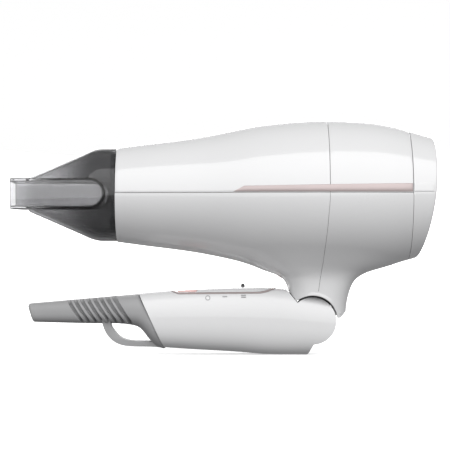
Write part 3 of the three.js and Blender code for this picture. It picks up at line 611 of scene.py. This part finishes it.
def lower_skin(body, front):
    """The open skin of one lower shell."""
    bm = bmesh.new()
    bm.from_mesh(body.data)
    side = 1 if front else -1
    cut(bm, (0, 0, SEAM_Z - SEAM / 2), (0, 0, 1))
    cut(bm, (MOUTH_X, 0, 0), (-1, 0, 0))
    cut(bm, (COVER_X, 0, 0), (1, 0, 0))
    cut(bm, (-side * SEAM / 2, 0, 0), (side, 0, 0), lambda p: Vector((p.x - float(seam_x(p.z)), p.y, p.z)),
        lambda p: Vector((p.x + float(seam_x(p.z)), p.y, p.z)))
    bmesh.ops.bisect_plane(bm, geom=bm.verts[:] + bm.edges[:] + bm.faces[:], dist=1e-7,
                           plane_co=(0, 0, 41.9 * MM), plane_no=(0, 0, 1))
    for face in [f for f in bm.faces if f.calc_center_median().z < 11 * MM]:
        bm.faces.remove(face)
    angle = NECK_ANGLES[1] if front else NECK_ANGLES[0]
    cut(bm, (0, 0, angle), (0, 0, side), around_hinge, from_hinge, near_hinge)
    cut(bm, (NECK_ROUND + 0.1 * MM, 0, 0), (-1, 0, 0), around_hinge, from_hinge, near_hinge)
    if not front:
        corner = Vector((73.6 * MM, 0, 26.5 * MM))
        cut(bm, corner, (1, 0, -1), only=near_hinge)
    for vert in [v for v in bm.verts if not v.link_faces]:
        bm.verts.remove(vert)
    bmesh.ops.recalc_face_normals(bm, faces=bm.faces)
    return bm


def lower_shell(body, name, front):
    bm = lower_skin(body, front)
    mesh = bpy.data.meshes.new(name)
    bm.to_mesh(mesh)
    bm.free()
    piece = bpy.data.objects.new(name, mesh)
    scene.collection.objects.link(piece)
    centre = np.array([f.center for f in mesh.polygons])
    facing = np.array([f.normal for f in mesh.polygons])
    if ((centre - AXIS) * facing).sum() < 0:
        mesh.flip_normals()
    thick = piece.modifiers.new("wall", "SOLIDIFY")
    thick.thickness = WALL
    thick.offset = -1
    thick.use_even_offset = True
    thick.thickness_clamp = 1
    apply_modifiers(piece)
    set_smooth(piece)
    return finish_piece(piece, "housing", SATIN, "satin_white", name)


def set_smooth(piece, angle=40):
    """Smooth shading, with edges steeper than the angle left sharp."""
    bm = bmesh.new()
    bm.from_mesh(piece.data)
    for face in bm.faces:
        face.smooth = True
    for edge in bm.edges:
        edge.smooth = edge.is_manifold and edge.calc_face_angle(0) < math.radians(angle)
    bm.to_mesh(piece.data)
    bm.free()


def neck_lip(name, side):
    """The raised lip round the cheek, which sinks into the neck outwards and at both ends."""
    start, end = math.radians(22), math.radians(116)
    wide = 3.0 * MM

    def surface(u, v):
        x = HINGE.x + (NECK_ROUND + v) * np.cos(u)
        z = HINGE.z + (NECK_ROUND + v) * np.sin(u)
        fade = np.clip(1 - np.minimum(u - start, end - u) / 0.5, 0, 1) ** 2
        return body_side(x, z, side, (0.25 - 0.55 * np.clip(v / wide, 0, 1) ** 2 - 0.7 * fade) * MM)

    sweep = np.linspace(start, end, 70)
    across = edged(0.1 * MM, wide, 8, 0.3 * MM)
    piece = plate(name, surface, (sweep, sweep * 0), across, 1.2 * MM, 0.15 * MM)
    return finish_piece(piece, "housing", SATIN, "satin_white")


def neck_liner():
    """A dark sheet in the slit between the neck's slanted front and the folded handle: painted shadow,
    standing for the shade in that slit.
    """
    angle = (NECK_ANGLES[1] + FACE_ANGLE) / 2
    half_thick = 0.17 * MM
    half_wide = 10 * MM
    outline = []
    for radius, lift in ((14.3, -1), (21.0, -1), (21.0, 1), (14.3, 1)):
        outline.append((HINGE.x + radius * MM * math.cos(angle) - lift * half_thick * math.sin(angle),
                        HINGE.z + radius * MM * math.sin(angle) + lift * half_thick * math.cos(angle)))
    piece = prism("neck_liner", outline, -half_wide, half_wide)
    return finish_piece(piece, "housing", DARK, "dark_plastic")


def neck_floor():
    """The floor of the neck over the handle's cheeks, on each side of the knuckle."""
    inner = 9.2 * MM
    sweep = np.linspace(math.radians(14), NECK_ANGLES[1], 60)
    bars = []
    for side in (-1, 1):
        def surface(u, v, side=side):
            radius = NECK_ROUND + 0.8 * MM
            x = HINGE.x + radius * np.cos(u)
            z = HINGE.z + radius * np.sin(u)
            outer = np.maximum(body_side(x, z, 1)[..., 1] - 0.8 * MM, inner + 0.5 * MM)
            return np.stack([x, side * (inner + (outer - inner) * v), z], axis=-1)
        bars.append(plate("bar", surface, (sweep, sweep * 0), edged(0, 1, 4, 0.03), -1.8 * MM, 0.0,
                          inside=np.array(HINGE)))
    return finish_piece(joined("neck_floor", bars), "housing", SATIN, "satin_white")


# ---------- rear cover
DOME_RADIUS = 129 * MM
DOME_CENTRE = np.array((REAR_X - DOME_RADIUS, 0, AXIS_Z + 14.1 * MM))
DOME_SPREAD = 1.525


def dome_x(y, z):
    return DOME_CENTRE[0] + np.sqrt(DOME_RADIUS ** 2 - (y / DOME_SPREAD) ** 2 - (z - DOME_CENTRE[2]) ** 2)


def rear_cover():
    """One skin from the seam round the corner and over the domed inlet face, with arc slots in it."""
    columns = 180
    angles = np.linspace(0, 2 * math.pi, columns, endpoint=False)
    corner_x = np.full(columns, REAR_X - 6 * MM)
    for _ in range(12):
        radius = BARREL(corner_x)
        corner_x = dome_x(radius * np.cos(angles), AXIS_Z + radius * np.sin(angles))
    rows = []

    def ring(x, radius):
        rows.append(np.stack([x, radius * np.cos(angles), AXIS_Z + radius * np.sin(angles)], axis=-1))

    start, soft = COVER_X + SEAM, 1.2 * MM
    for share, sunk in ((0, 0.3), (0.01, 0.08), (0.03, 0)):
        x = start + (corner_x - soft - start) * share
        ring(x, BARREL(x) - sunk * MM)
    for share in np.linspace(0.15, 1, 8):
        x = start + (corner_x - soft - start) * share
        ring(x, BARREL(x))
    side_x, rim = corner_x - soft, BARREL(corner_x)
    face_radius = rim - soft
    face_x = dome_x(face_radius * np.cos(angles), AXIS_Z + face_radius * np.sin(angles))
    for t in np.linspace(0.12, 0.88, 7):
        a, b, c = (1 - t) ** 2, 2 * t * (1 - t), t ** 2
        ring(a * side_x + b * corner_x + c * face_x, a * BARREL(side_x) + b * rim + c * face_radius)
    slots = [(r, r + 2.3) for r in (27.6, 23.6, 19.6, 15.6, 11.6, 7.6)]
    edges = {v for low, high in slots for v in (low, high, (low + high) / 2)}
    stations = sorted(edges | {5.5, 3, 1}, reverse=True)
    first_face = len(rows)
    ring(face_x, face_radius)
    for station in stations:
        radius = np.full(columns, station * MM)
        ring(dome_x(radius * np.cos(angles), AXIS_Z + radius * np.sin(angles)), radius)
    points = np.array(rows)
    faces = grid_faces(len(rows), columns, True)
    kept = []
    for number, face in enumerate(faces):
        row, column = divmod(number, columns)
        if row > first_face:
            outer, inner = stations[row - first_face - 1], stations[row - first_face]
            ring_number = next((k for k, (a, b) in enumerate(slots) if a <= inner and outer <= b), None)
            spoke = 30 if ring_number is None else (column + 15 * (ring_number % 2)) % 30
            width = 2 if ring_number is None or ring_number < 3 else 3 + ring_number - 3
            if ring_number is not None and spoke >= width:
                continue
        kept.append(face)
    kept.append(tuple((len(rows) - 1) * columns + j for j in range(columns)))
    piece = mesh_object("rear_cover", points.reshape(-1, 3), kept)
    thick = piece.modifiers.new("wall", "SOLIDIFY")
    thick.thickness = 1.8 * MM
    thick.offset = -1
    apply_modifiers(piece)
    soften(piece, 0.25 * MM, 1, 50)
    set_smooth(piece, 50)
    return finish_piece(piece, "rear_cover", WHITE, "white_gloss", "rear_cover")


def cover_bands():
    """The trim band's white continuation over the rear cover, on both sides."""
    bands = []
    for side in (-1, 1):
        def surface(u, v, side=side):
            return barrel_side(COVER_X + 0.5 * MM + u, SEAM_Z + 0.4 * MM + v, 0.25 * MM, side)
        along, up = edged(0, 12.0 * MM, 10, 0.4 * MM), edged(0, 5.2 * MM, 6, 0.3 * MM)
        bands.append(plate("band", surface, along, up, 1.0 * MM, 0.3 * MM))
    return finish_piece(joined("cover_bands", bands), "rear_cover", WHITE, "white_gloss")


def inlet_mesh():
    """Woven steel mesh behind the inlet slots."""
    wires, pitch, reach = [], 1.6 * MM, 33.5 * MM
    count = int(reach / pitch)
    for k in range(-count, count + 1):
        half = math.sqrt(reach ** 2 - (k * pitch) ** 2)
        for upright in (True, False):
            steps = max(2, round(2 * half / pitch))
            along = np.linspace(-half, half, steps * 2 + 1)
            wave = 0.22 * MM * np.sin(along / pitch * math.pi + (k + upright) * math.pi)
            across = np.full_like(along, k * pitch)
            y, z = (across, along) if upright else (along, across)
            rings = []
            for turn in range(4):
                c = 0.16 * MM * math.cos(turn * math.pi / 2)
                s = 0.16 * MM * math.sin(turn * math.pi / 2)
                shift_y, shift_z = (s, 0) if upright else (0, s)
                x = COVER_X + 2.2 * MM + wave + c
                rings.append(np.stack([x, y + shift_y, AXIS_Z + z + shift_z], axis=-1))
            wires.append(np.array(rings).transpose(1, 0, 2))
    points, faces, start = [], [], 0
    for wire in wires:
        points.append(wire.reshape(-1, 3))
        faces += grid_faces(len(wire), 4, True, start)
        start += wire.shape[0] * 4
    piece = mesh_object("inlet_mesh", np.concatenate(points), faces)
    return finish_piece(piece, "rear_cover", STEEL, "steel")


# ---------- trim strips and light
STRIP_END = COVER_X - GAP


def trim_strip(name, side):
    low = SEAM_Z + 0.35 * MM
    tip, step = 5.1 * MM, 6.8 * MM

    def surface(u, v):
        start = tip + step * v
        x = start + (STRIP_END - start) * u
        top = SEAM_Z + 4 * MM + 1.6 * MM * (x - tip - step) / (STRIP_END - tip - step)
        bulge = (0.1 + 0.25 * np.sin(math.pi * np.clip(v, 0, 1))) * MM
        return barrel_side(x, low + (top - low) * v, bulge, side)

    across, deep = edged(0, 1, 7, 0.09)
    along, deep_along = edged(0, 1, 52, 0.005)
    piece = plate(name, surface, (along, deep_along), (across, deep), 1.1 * MM, 0.35 * MM)
    return finish_piece(piece, "housing", ROSE, "rose_trim", name)


# ---------- handle
HANDLE_X = [v * MM for v in (-70, -62.1, -31, -10, 11.6, 25.8, 38, 58.3, 68)]
HANDLE_HIGH = spline(HANDLE_X, [HINGE.z * (1 + v) for v in
                                (0.72, 0.77, 0.91, 0.965, 0.995, 0.985, 0.925, 0.76, 0.7)])
HANDLE_LOW = spline(HANDLE_X, [HINGE.z * (1 - v) for v in
                               (0.66, 0.7, 0.826, 0.89, 0.955, 1.012, 1.025, 1.025, 1.02)])
HANDLE_HALF = spline(HANDLE_X, [17.2 * MM * v for v in (0.92, 0.94, 0.97, 0.99, 1, 1, 1, 1, 1)])
HANDLE_POWER = 2.9
BOOT_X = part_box("strain_relief")[0].x + 73.8 * MM
BOOT_LEAN = math.tan(math.radians(25))
FACE_ANGLE = math.radians(129.6)
CHEEK = 13.9 * MM


def superellipse(power, sides):
    angles = (np.arange(sides) + 0.5) * 2 * math.pi / sides
    c, s = np.cos(angles), np.sin(angles)
    return np.sign(c) * np.abs(c) ** (2 / power), np.sign(s) * np.abs(s) ** (2 / power)


def handle_loft(name, inset, x0=-66 * MM, x1=68 * MM, rows=90, sides=112):
    c, s = superellipse(HANDLE_POWER, sides)
    rings = []
    for x in np.linspace(x0, x1, rows):
        high, low = HANDLE_HIGH(x) - inset, HANDLE_LOW(x) + inset
        half = HANDLE_HALF(x) - inset
        z = np.maximum((high + low) / 2 + (high - low) / 2 * s, inset)
        rings.append(np.stack([np.full_like(c, x), half * c, z], axis=-1))
    return closed_loft(name, rings)


def boot_plane(z, shift=0.0):
    return BOOT_X + shift + BOOT_LEAN * (HINGE.z - z)


def handle_outline(inset):
    """Side outline of both handle shells: slanted front joint, the fold's face, the cheek, the heel."""
    base, top = -5 * MM, 60 * MM
    face = FACE_ANGLE + inset / (22 * MM)
    radius = CHEEK if not inset else CHEEK + 2 * inset
    points = [(boot_plane(base, GAP / 2 + inset), base), (boot_plane(top, GAP / 2 + inset), top)]
    reach = (top - HINGE.z) / math.sin(face)
    points.append((HINGE.x + reach * math.cos(face), top))
    if inset:
        last = math.radians(262)
        sweep = np.linspace(face, last, 40)
    else:
        last = math.radians(-87)
        sweep = np.linspace(face, last, 90)
    points += [(HINGE.x + radius * math.cos(a), HINGE.z + radius * math.sin(a)) for a in sweep]
    points.append((HINGE.x - 2.6 * MM - inset, 0.0))
    points.append((HINGE.x - 4.5 * MM - inset, base))
    return points


def panel_outline(grow):
    high, top = HANDLE_TOP + 20 * MM, HANDLE_TOP
    front, rear = HINGE.x - 83.4 * MM - grow, HINGE.x - 22.2 * MM + grow
    floor = top - 3.8 * MM - grow
    return [(front - 2 * MM, high), (front, top - 2 * MM - grow), (front + 2 * MM, floor + 0.9 * MM),
            (front + 4.6 * MM, floor), (rear - 9 * MM, floor + 0.5 * MM), (rear - 5 * MM, floor + 1.3 * MM),
            (rear, top - 0.4 * MM - grow), (rear + 2 * MM, high)]


def wide_prism(name, outline):
    return prism(name, outline, -40 * MM, 40 * MM)


def handle_shells():
    body = handle_loft("handle", 0.0)
    combine(body, [wide_prism("side", handle_outline(0))], "INTERSECT")
    hollow = combine(handle_loft("hollow", WALL), [wide_prism("side", handle_outline(WALL))], "INTERSECT")
    fork = cylinder_y("fork", HINGE.x, HINGE.z, CHEEK, -10.2 * MM, 10.2 * MM)
    pocket = wide_prism("pocket", panel_outline(0.7 * MM))
    combine(body, [hollow, fork, pocket], "DIFFERENCE")
    for node in ("handle_screw_front", "handle_screw_rear"):
        low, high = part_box(node)
        x, z = (low.x + high.x) / 2, (low.z + high.z) / 2
        combine(body, [cylinder_y("hole", x, z, 3.1 * MM, 14.2 * MM, 30 * MM, 40)], "DIFFERENCE")
    reach = 200 * MM
    square = [(-reach, -reach), (reach, -reach), (reach, reach), (-reach, reach)]
    for name, y0, y1 in (("handle_left_shell", -reach, -0.05 * MM), ("handle_right_shell", 0.05 * MM, reach)):
        half = bpy.data.objects.new(name, body.data.copy())
        scene.collection.objects.link(half)
        combine(half, [prism("half", square, y0, y1)], "INTERSECT")
        round_edges(half, 0.6 * MM, 3)
        finish_piece(half, "handle", SATIN, "satin_white", name)
    bpy.data.objects.remove(body)


def round_edges(piece, width, segments=2, angle=38):
    """Cleans a boolean's result and rounds its sharp edges."""
    bm = bmesh.new()
    bm.from_mesh(piece.data)
    bmesh.ops.remove_doubles(bm, verts=bm.verts, dist=0.01 * MM)
    bmesh.ops.dissolve_degenerate(bm, edges=bm.edges, dist=0.01 * MM)
    bm.to_mesh(piece.data)
    bm.free()
    return soften(piece, width, segments, angle)


BUTTON_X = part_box("cool_shot_button")[0].x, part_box("cool_shot_button")[1].x
BUTTON_HALF = 5.2 * MM
SLOT_X = HINGE.x - 64.2 * MM, HINGE.x - 38.8 * MM


def block(name, x0, x1, half, z0, z1):
    return prism(name, [(x0, z0), (x1, z0), (x1, z1), (x0, z1)], -half, half)


def panel_cuts():
    grow = 0.35 * MM
    button = block("button", BUTTON_X[0] - grow, BUTTON_X[1] + grow, BUTTON_HALF + grow, HINGE.z, 80 * MM)
    slot = block("slot", SLOT_X[0], SLOT_X[1], 1.2 * MM, HINGE.z, 80 * MM)
    return [button, slot]


def switch_panel():
    """The white plate: full height behind the button, sunk round it."""
    panel = handle_loft("switch_panel", 0.0)
    combine(panel, [wide_prism("side", panel_outline(-0.3 * MM))], "INTERSECT")
    sunk = [(-40 * MM, 60 * MM), (-40 * MM, 37.1 * MM), (-16.4 * MM, 37.1 * MM), (-15.2 * MM, 38.6 * MM),
            (-15.0 * MM, 60 * MM)]
    combine(panel, panel_cuts() + [wide_prism("sunk", sunk)], "DIFFERENCE")
    round_edges(panel, 0.3 * MM)
    return finish_piece(panel, "handle", WHITE, "white_gloss", "switch_panel")


def panel_trim():
    trim = handle_loft("panel_trim", -0.12 * MM)
    combine(trim, [wide_prism("side", panel_outline(0.55 * MM))], "INTERSECT")
    combine(trim, [wide_prism("inner", panel_outline(-0.15 * MM))] + panel_cuts(), "DIFFERENCE")
    round_edges(trim, 0.15 * MM, 2)
    return finish_piece(trim, "handle", ROSE, "rose_trim", "panel_trim")


def cool_shot_button():
    cap = handle_loft("cool_shot_button", 0.8 * MM)
    box = block("cap", BUTTON_X[0], BUTTON_X[1], BUTTON_HALF, HANDLE_TOP - 6.2 * MM, 60 * MM)
    combine(cap, [box], "INTERSECT")
    round_edges(cap, 0.9 * MM, 4)
    return finish_piece(cap, "cool_shot", PINK, "rose_button", "cool_shot_button")


def slider_knob():
    """A small ribbed knob on a stem that reaches the switch."""
    x = (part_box("slider_knob")[0].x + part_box("slider_knob")[1].x) / 2
    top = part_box("slider_knob")[1].z - 0.7 * MM
    outline = [(-1.3, -2.9), (-1.1, -1.0), (-0.95, -0.45), (-0.68, -0.2), (-0.5, -0.45), (-0.2, 0), (0.2, 0),
               (0.5, -0.45), (0.68, -0.2), (0.95, -0.45), (1.1, -1.0), (1.3, -2.9)]
    ridge = prism("ridge", [(x + u * MM, top + w * MM) for u, w in outline], -3.9 * MM, 3.9 * MM)
    round_edges(ridge, 0.12 * MM, 2)
    stem = block("stem", x - 0.9 * MM, x + 0.9 * MM, 0.8 * MM, HANDLE_TOP - 6.6 * MM, top - 1.5 * MM)
    foot = block("foot", x - 2 * MM, x + 2 * MM, 4 * MM, HANDLE_TOP - 6.6 * MM, HANDLE_TOP - 4.6 * MM)
    for part in (stem, foot):
        round_edges(part, 0.2 * MM)
    knob = joined("slider_knob", [ridge, stem, foot])
    return finish_piece(knob, "slider", DARK, "dark_plastic", "slider_knob")


def handle_side(x, z, side, outset):
    high, low, half = HANDLE_HIGH(x), HANDLE_LOW(x), HANDLE_HALF(x)
    up = np.clip(np.abs((z - (high + low) / 2) / ((high - low) / 2)), 0, 0.999)
    return np.stack([x, side * (half * (1 - up ** HANDLE_POWER) ** (1 / HANDLE_POWER) + outset), z], axis=-1)


def switch_marks():
    """Plain off, low and high marks beside the knob's three places, on both sides."""
    marks, outset, thick = [], 0.12 * MM, 0.3 * MM
    for side in (-1, 1):
        def circle(u, v, side=side):
            return handle_side(-9.4 * MM + v * np.cos(u), 33.9 * MM + v * np.sin(u), side, outset)

        sweep = np.linspace(0, 2 * math.pi, 40, endpoint=False)
        ring = plate_ring(circle, sweep, (1.0 * MM, 1.5 * MM), thick)
        marks.append(ring)
        for x, z in ((0.7, 34.6), (11.8, 34.25), (11.8, 35.35)):
            def dash(u, v, side=side, x=x, z=z):
                return handle_side(x * MM + u, z * MM + v, side, outset)
            marks.append(plate("mark", dash, edged(-1.4 * MM, 1.4 * MM, 5, 0.08 * MM),
                               edged(-0.25 * MM, 0.25 * MM, 3, 0.08 * MM), thick, 0.08 * MM))
    return finish_piece(joined("switch_marks", marks), "handle", INK, "grey_plastic")


def plate_ring(surface, sweep, radii, thickness):
    """A flat ring on surface(angle, radius)."""
    stations, depth = edged(*radii, 3, 0.08 * MM)
    u, v = np.meshgrid(sweep, stations, indexing="ij")
    top = surface(u, v)
    outward = np.sign(top[..., 1:2]) * np.array((0, 1, 0))
    top = top - outward * depth[None, :, None] * 0.08 * MM
    bottom = surface(u, v) - outward * thickness
    loop = np.concatenate([top, bottom[:, ::-1]], axis=1)
    rows, columns = loop.shape[:2]
    faces = grid_faces(rows, columns, True)
    last = (rows - 1) * columns
    faces += [(last + j, last + (j + 1) % columns, (j + 1) % columns, j) for j in range(columns)]
    return mesh_object("mark", loop.reshape(-1, 3), faces)


# ---------- strain relief
LEAD_Z = HINGE.z + 4.2 * MM
TIP_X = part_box("strain_relief")[0].x
BOOT_LENGTH = BOOT_X - TIP_X
TIP_RADIUS = 5.6 * MM
BOOT_SHARE = (-0.19, 0.023, 0.081, 0.152, 0.434, 0.732, 0.955, 1.1)
BOOT_UNDER = spline([BOOT_X - v * BOOT_LENGTH for v in BOOT_SHARE[::-1]],
                    [LEAD_Z - v * MM for v in (21.9, 15.4, 9.9, 7.4, 6.3, 5.9, 5.5, 5.3)[::-1]])
GROOVE_WIDTH = 2.4 * MM
LEAN_X = [TIP_X, TIP_X + 14 * MM, TIP_X + 24 * MM, BOOT_X - 12 * MM, BOOT_X]
LEANS = [math.tan(math.radians(v)) for v in (12, 20, 33, 33, 25)]
GROOVES = [BOOT_X - (12.4 + 4.05 * k) * MM for k in range(8)]


def boot_section(x):
    share = np.clip((BOOT_X - x) / BOOT_LENGTH, -0.3, 1)
    joint_top, joint_half = HINGE.z * 1.8 - LEAD_Z, 0.92 * 17.2 * MM
    top = LEAD_Z + joint_top + (TIP_RADIUS - joint_top) * share
    across = joint_half + (TIP_RADIUS - joint_half) * np.clip(share, 0, 1) ** 0.75
    return top, BOOT_UNDER(x), across


def groove_depth(x):
    """How deep the boot is cut at a station, 0 to 1."""
    depth = 0.0
    for start in GROOVES:
        share = (start - x) / GROOVE_WIDTH
        depth = max(depth, float(np.interp(share, (0, 0.15, 0.5, 0.86, 1), (0, 0.6, 0.9, 1, 0))))
    return depth


def boot_sleeve():
    c, s = superellipse(2.5, 72)
    stations = list(np.linspace(BOOT_X - 0.15 * MM, BOOT_X - 14 * MM, 14))
    stations += list(np.arange(BOOT_X - 14.3 * MM, GROOVES[-1] - 3 * MM, -0.28 * MM))
    end = TIP_X + 2.1 * MM
    stations += list(np.linspace(GROOVES[-1] - 4 * MM, end + 1.6 * MM, 16))
    stations += [end + v * MM for v in (1.2, 0.8, 0.45, 0.2, 0.05, 0)]
    rings = []
    for number, x in enumerate(stations):
        lean = np.interp(x, LEAN_X, LEANS)
        at = np.full_like(c, x)
        for _ in range(5):
            top, under, across = boot_section(at)
            z = (top + under) / 2 + (top - under) / 2 * s
            at = x + lean * (HINGE.z - z)
        tip = np.clip((x - end) / (1.6 * MM), 0, 1)
        shrink = 1.5 * MM * (1 - math.sqrt(1 - (1 - tip) ** 2)) if number > 30 else 0.0
        if number == 0:
            shrink = 0.5 * MM
        fade = np.clip((np.abs(c) - 0.14) / 0.1, 0, 1)
        cut_in = 2.9 * MM * groove_depth(x) * fade + shrink
        top, under, across = boot_section(at)
        reach = (top - under) / 2 - cut_in
        rings.append(np.stack([at, (across - cut_in) * c, (top + under) / 2 + reach * s], axis=-1))
    return closed_loft("sleeve", rings)


LOOP_OUTER = ((30, -4), (27.6, -11.2), (23.3, -16.4), (18, -19), (13.8, -19.7), (6, -20.0),
              (-1.4, -20.2), (-8, -21))
LOOP_INNER = ((-3, -17.4), (2.5, -16.9), (13.3, -16.4), (18, -14.8), (22.3, -10.6), (24.3, -7.2), (24.4, -3))


def rounded_path(points, steps=7):
    """A smooth curve through side points given ahead of the joint and above the lead."""
    points = np.array(points, float) * MM
    run = np.concatenate([[0], np.cumsum(np.linalg.norm(np.diff(points, axis=0), axis=1))])
    at = np.linspace(0, run[-1], steps * (len(points) - 1) + 1)
    return np.stack([BOOT_X - spline(run, points[:, 0])(at), LEAD_Z + spline(run, points[:, 1])(at)], axis=-1)


def strain_relief():
    outline = np.concatenate([rounded_path(LOOP_OUTER), rounded_path(LOOP_INNER)])
    arm = prism("arm", outline, -5 * MM, 5 * MM)
    behind = [(boot_plane(-60 * MM, -GAP / 2), -60 * MM), (0.2, -60 * MM), (0.2, 90 * MM),
              (boot_plane(90 * MM, -GAP / 2), 90 * MM)]
    combine(arm, [wide_prism("behind", behind)], "DIFFERENCE")
    round_edges(arm, 1.1 * MM, 3, 50)
    sleeve = boot_sleeve()
    bore = turned("bore", [(TIP_X - 5 * MM, 0), (TIP_X - 5 * MM, 3.5 * MM), (TIP_X + 40 * MM, 3.5 * MM),
                           (TIP_X + 40 * MM, 0)], 48, LEAD_Z)
    combine(sleeve, [arm], "UNION")
    combine(sleeve, [bore], "DIFFERENCE")
    sleeve.name = "strain_relief"
    set_smooth(sleeve, 32)
    return finish_piece(sleeve, "handle", RUBBER, "grey_rubber", "strain_relief")


# ---------- nozzle


def nozzle_cone(inset, spare):
    start, end = OUTLET_X + 8.5 * MM, MOUTH_X - GAP + spare
    profile = [(start, 0), (start, 10.2 * MM - inset), (start + 0.3 * MM, 10.5 * MM - inset)]
    curve = spline([v * MM for v in (-116.6, -105, -93.8, -84, -78, -74, -63)],
                   [v * MM for v in (10.5, 15.5, 20.4, 24.7, 27.2, 28.0, 28.1)])
    for x in np.linspace(start + 0.6 * MM, end - 1e-5, 44):
        profile.append((x, min(float(curve(x)), COLLAR) - inset))
    profile += [(end, COLLAR - inset - (0 if spare else 0.3 * MM)), (end, 0)]
    return turned("cone", profile, 112)


def nozzle_fin(inset, spare):
    """The flat slot duct: a plate with a round inner end, seen from the side."""
    half, centre = FIN_HALF - inset, U_END - FIN_HALF
    arc = np.linspace(-math.pi / 2, math.pi / 2, 40)
    outline = [(OUTLET_X - spare, AXIS_Z - half)]
    outline += [(centre + half * math.cos(a), AXIS_Z + half * math.sin(a)) for a in arc]
    outline += [(OUTLET_X - spare, AXIS_Z + half)]
    fin = prism("fin", outline, -FIN_WIDE + inset, FIN_WIDE - inset)
    return round_edges(fin, 0.7 * MM, 3)


def concentrator_nozzle():
    outer = combine(nozzle_cone(0, 0), [nozzle_fin(0, 0)], "UNION")
    inner = combine(nozzle_cone(NOZZLE_WALL, MM), [nozzle_fin(NOZZLE_WALL, MM)], "UNION")
    combine(outer, [inner], "DIFFERENCE")
    x0, x1, r0, r1 = MOUTH_X - 3 * MM, MOUTH_X + 7.6 * MM, 24.2 * MM, 26.0 * MM
    combine(outer, [turned("spigot", [(x0, r0), (x0, r1), (x1, r1), (x1, r0)], 112)], "UNION")
    x1, r1 = MOUTH_X - GAP - 0.02 * MM, COLLAR - 0.9 * MM
    combine(outer, [turned("flange", [(x0, r0), (x0, r1), (x1, r1), (x1, r0)], 112)], "UNION")
    outer.name = "concentrator_nozzle"
    set_smooth(outer, 30)
    return finish_piece(outer, "nozzle", SMOKE_PAINTED_LIGHT_AND_SHADE, "smoke_nozzle", "concentrator_nozzle")


# ---------- CAD nodes that stay
KEPT = {
    "ion_light": LENS, "outlet_grille": DARK, "mica_tube": MICA, "mica_board_upright": MICA,
    "mica_board_level": MICA, "heater_coil_front": WIRE, "heater_coil_rear": WIRE, "thermostat": DARK,
    "thermal_fuse": STEEL, "fan_duct": GREY, "motor": STEEL, "motor_screw_left": STEEL,
    "motor_screw_right": STEEL, "motor_shaft": STEEL, "impeller": DARK, "ioniser_module": DARK,
    "ioniser_needle": STEEL, "rear_filter": DARK, "hinge_knuckle": DARK, "hinge_pin": STEEL,
    "hinge_washer_left": NYLON, "hinge_washer_right": NYLON, "button_spring": STEEL, "switch_body": DARK,
    "switch_board": BOARD, "cord_clamp": DARK, "handle_screw_front": STEEL, "handle_screw_rear": STEEL,
}


def dress_kept_nodes():
    for node, material in KEPT.items():
        piece = bpy.data.objects[node]
        for slot in piece.material_slots:
            slot.material = material


# ---------- floor and backdrop
def make_stage():
    """A round floor that curves up into a pale wall, all round the object."""
    bend = np.linspace(0, math.pi / 2, 14)
    profile = [(0.02, 0), (0.4, 0), (1.0, 0), (1.8, 0)] + [(2.0 + math.sin(a), 1 - math.cos(a)) for a in bend]
    profile += [(3.0, 2.0), (3.0, 3.2)]
    around = np.linspace(0, 2 * math.pi, 72, endpoint=False)
    points = [(r * math.cos(a), r * math.sin(a), z - 0.2 * MM) for r, z in profile for a in around]
    faces = grid_faces(len(profile), 72, True) + [tuple(range(72))]
    bowl = mesh_object("studio_floor", points, faces)
    bowl.data.materials.append(plastic("backdrop_paper", (0.95, 0.95, 0.95), 0.8, 500, 0.01, 0.004))
    shader = bowl.data.materials[0].node_tree.nodes["Principled BSDF"]
    shader.inputs["Emission Color"].default_value = (1, 1, 1, 1)
    shader.inputs["Emission Strength"].default_value = 0.4
    bowl.visible_diffuse = False
    bowl.visible_glossy = False
    bowl.visible_shadow = False


# ---------- the object
make_camera()
make_lights()
make_stage()
MID_X = 61.35 * MM
upper_shell("front_upper_shell", MOUTH_X, MID_X - SEAM / 2)
upper_shell("rear_upper_shell", MID_X + SEAM / 2, COVER_X)
whole = blended_body()
lower_shell(whole, "front_lower_shell", True)
lower_shell(whole, "rear_lower_shell", False)
bpy.data.objects.remove(whole)
neck_lip("neck_lip_left", -1)
neck_lip("neck_lip_right", 1)
neck_floor()
# A dark sheet as painted shadow in the slit between the neck and the folded handle.
neck_liner()
rear_cover()
cover_bands()
inlet_mesh()
trim_strip("trim_strip_left", -1)
trim_strip("trim_strip_right", 1)
handle_shells()
switch_panel()
panel_trim()
cool_shot_button()
slider_knob()
switch_marks()
strain_relief()
concentrator_nozzle()
dress_kept_nodes()
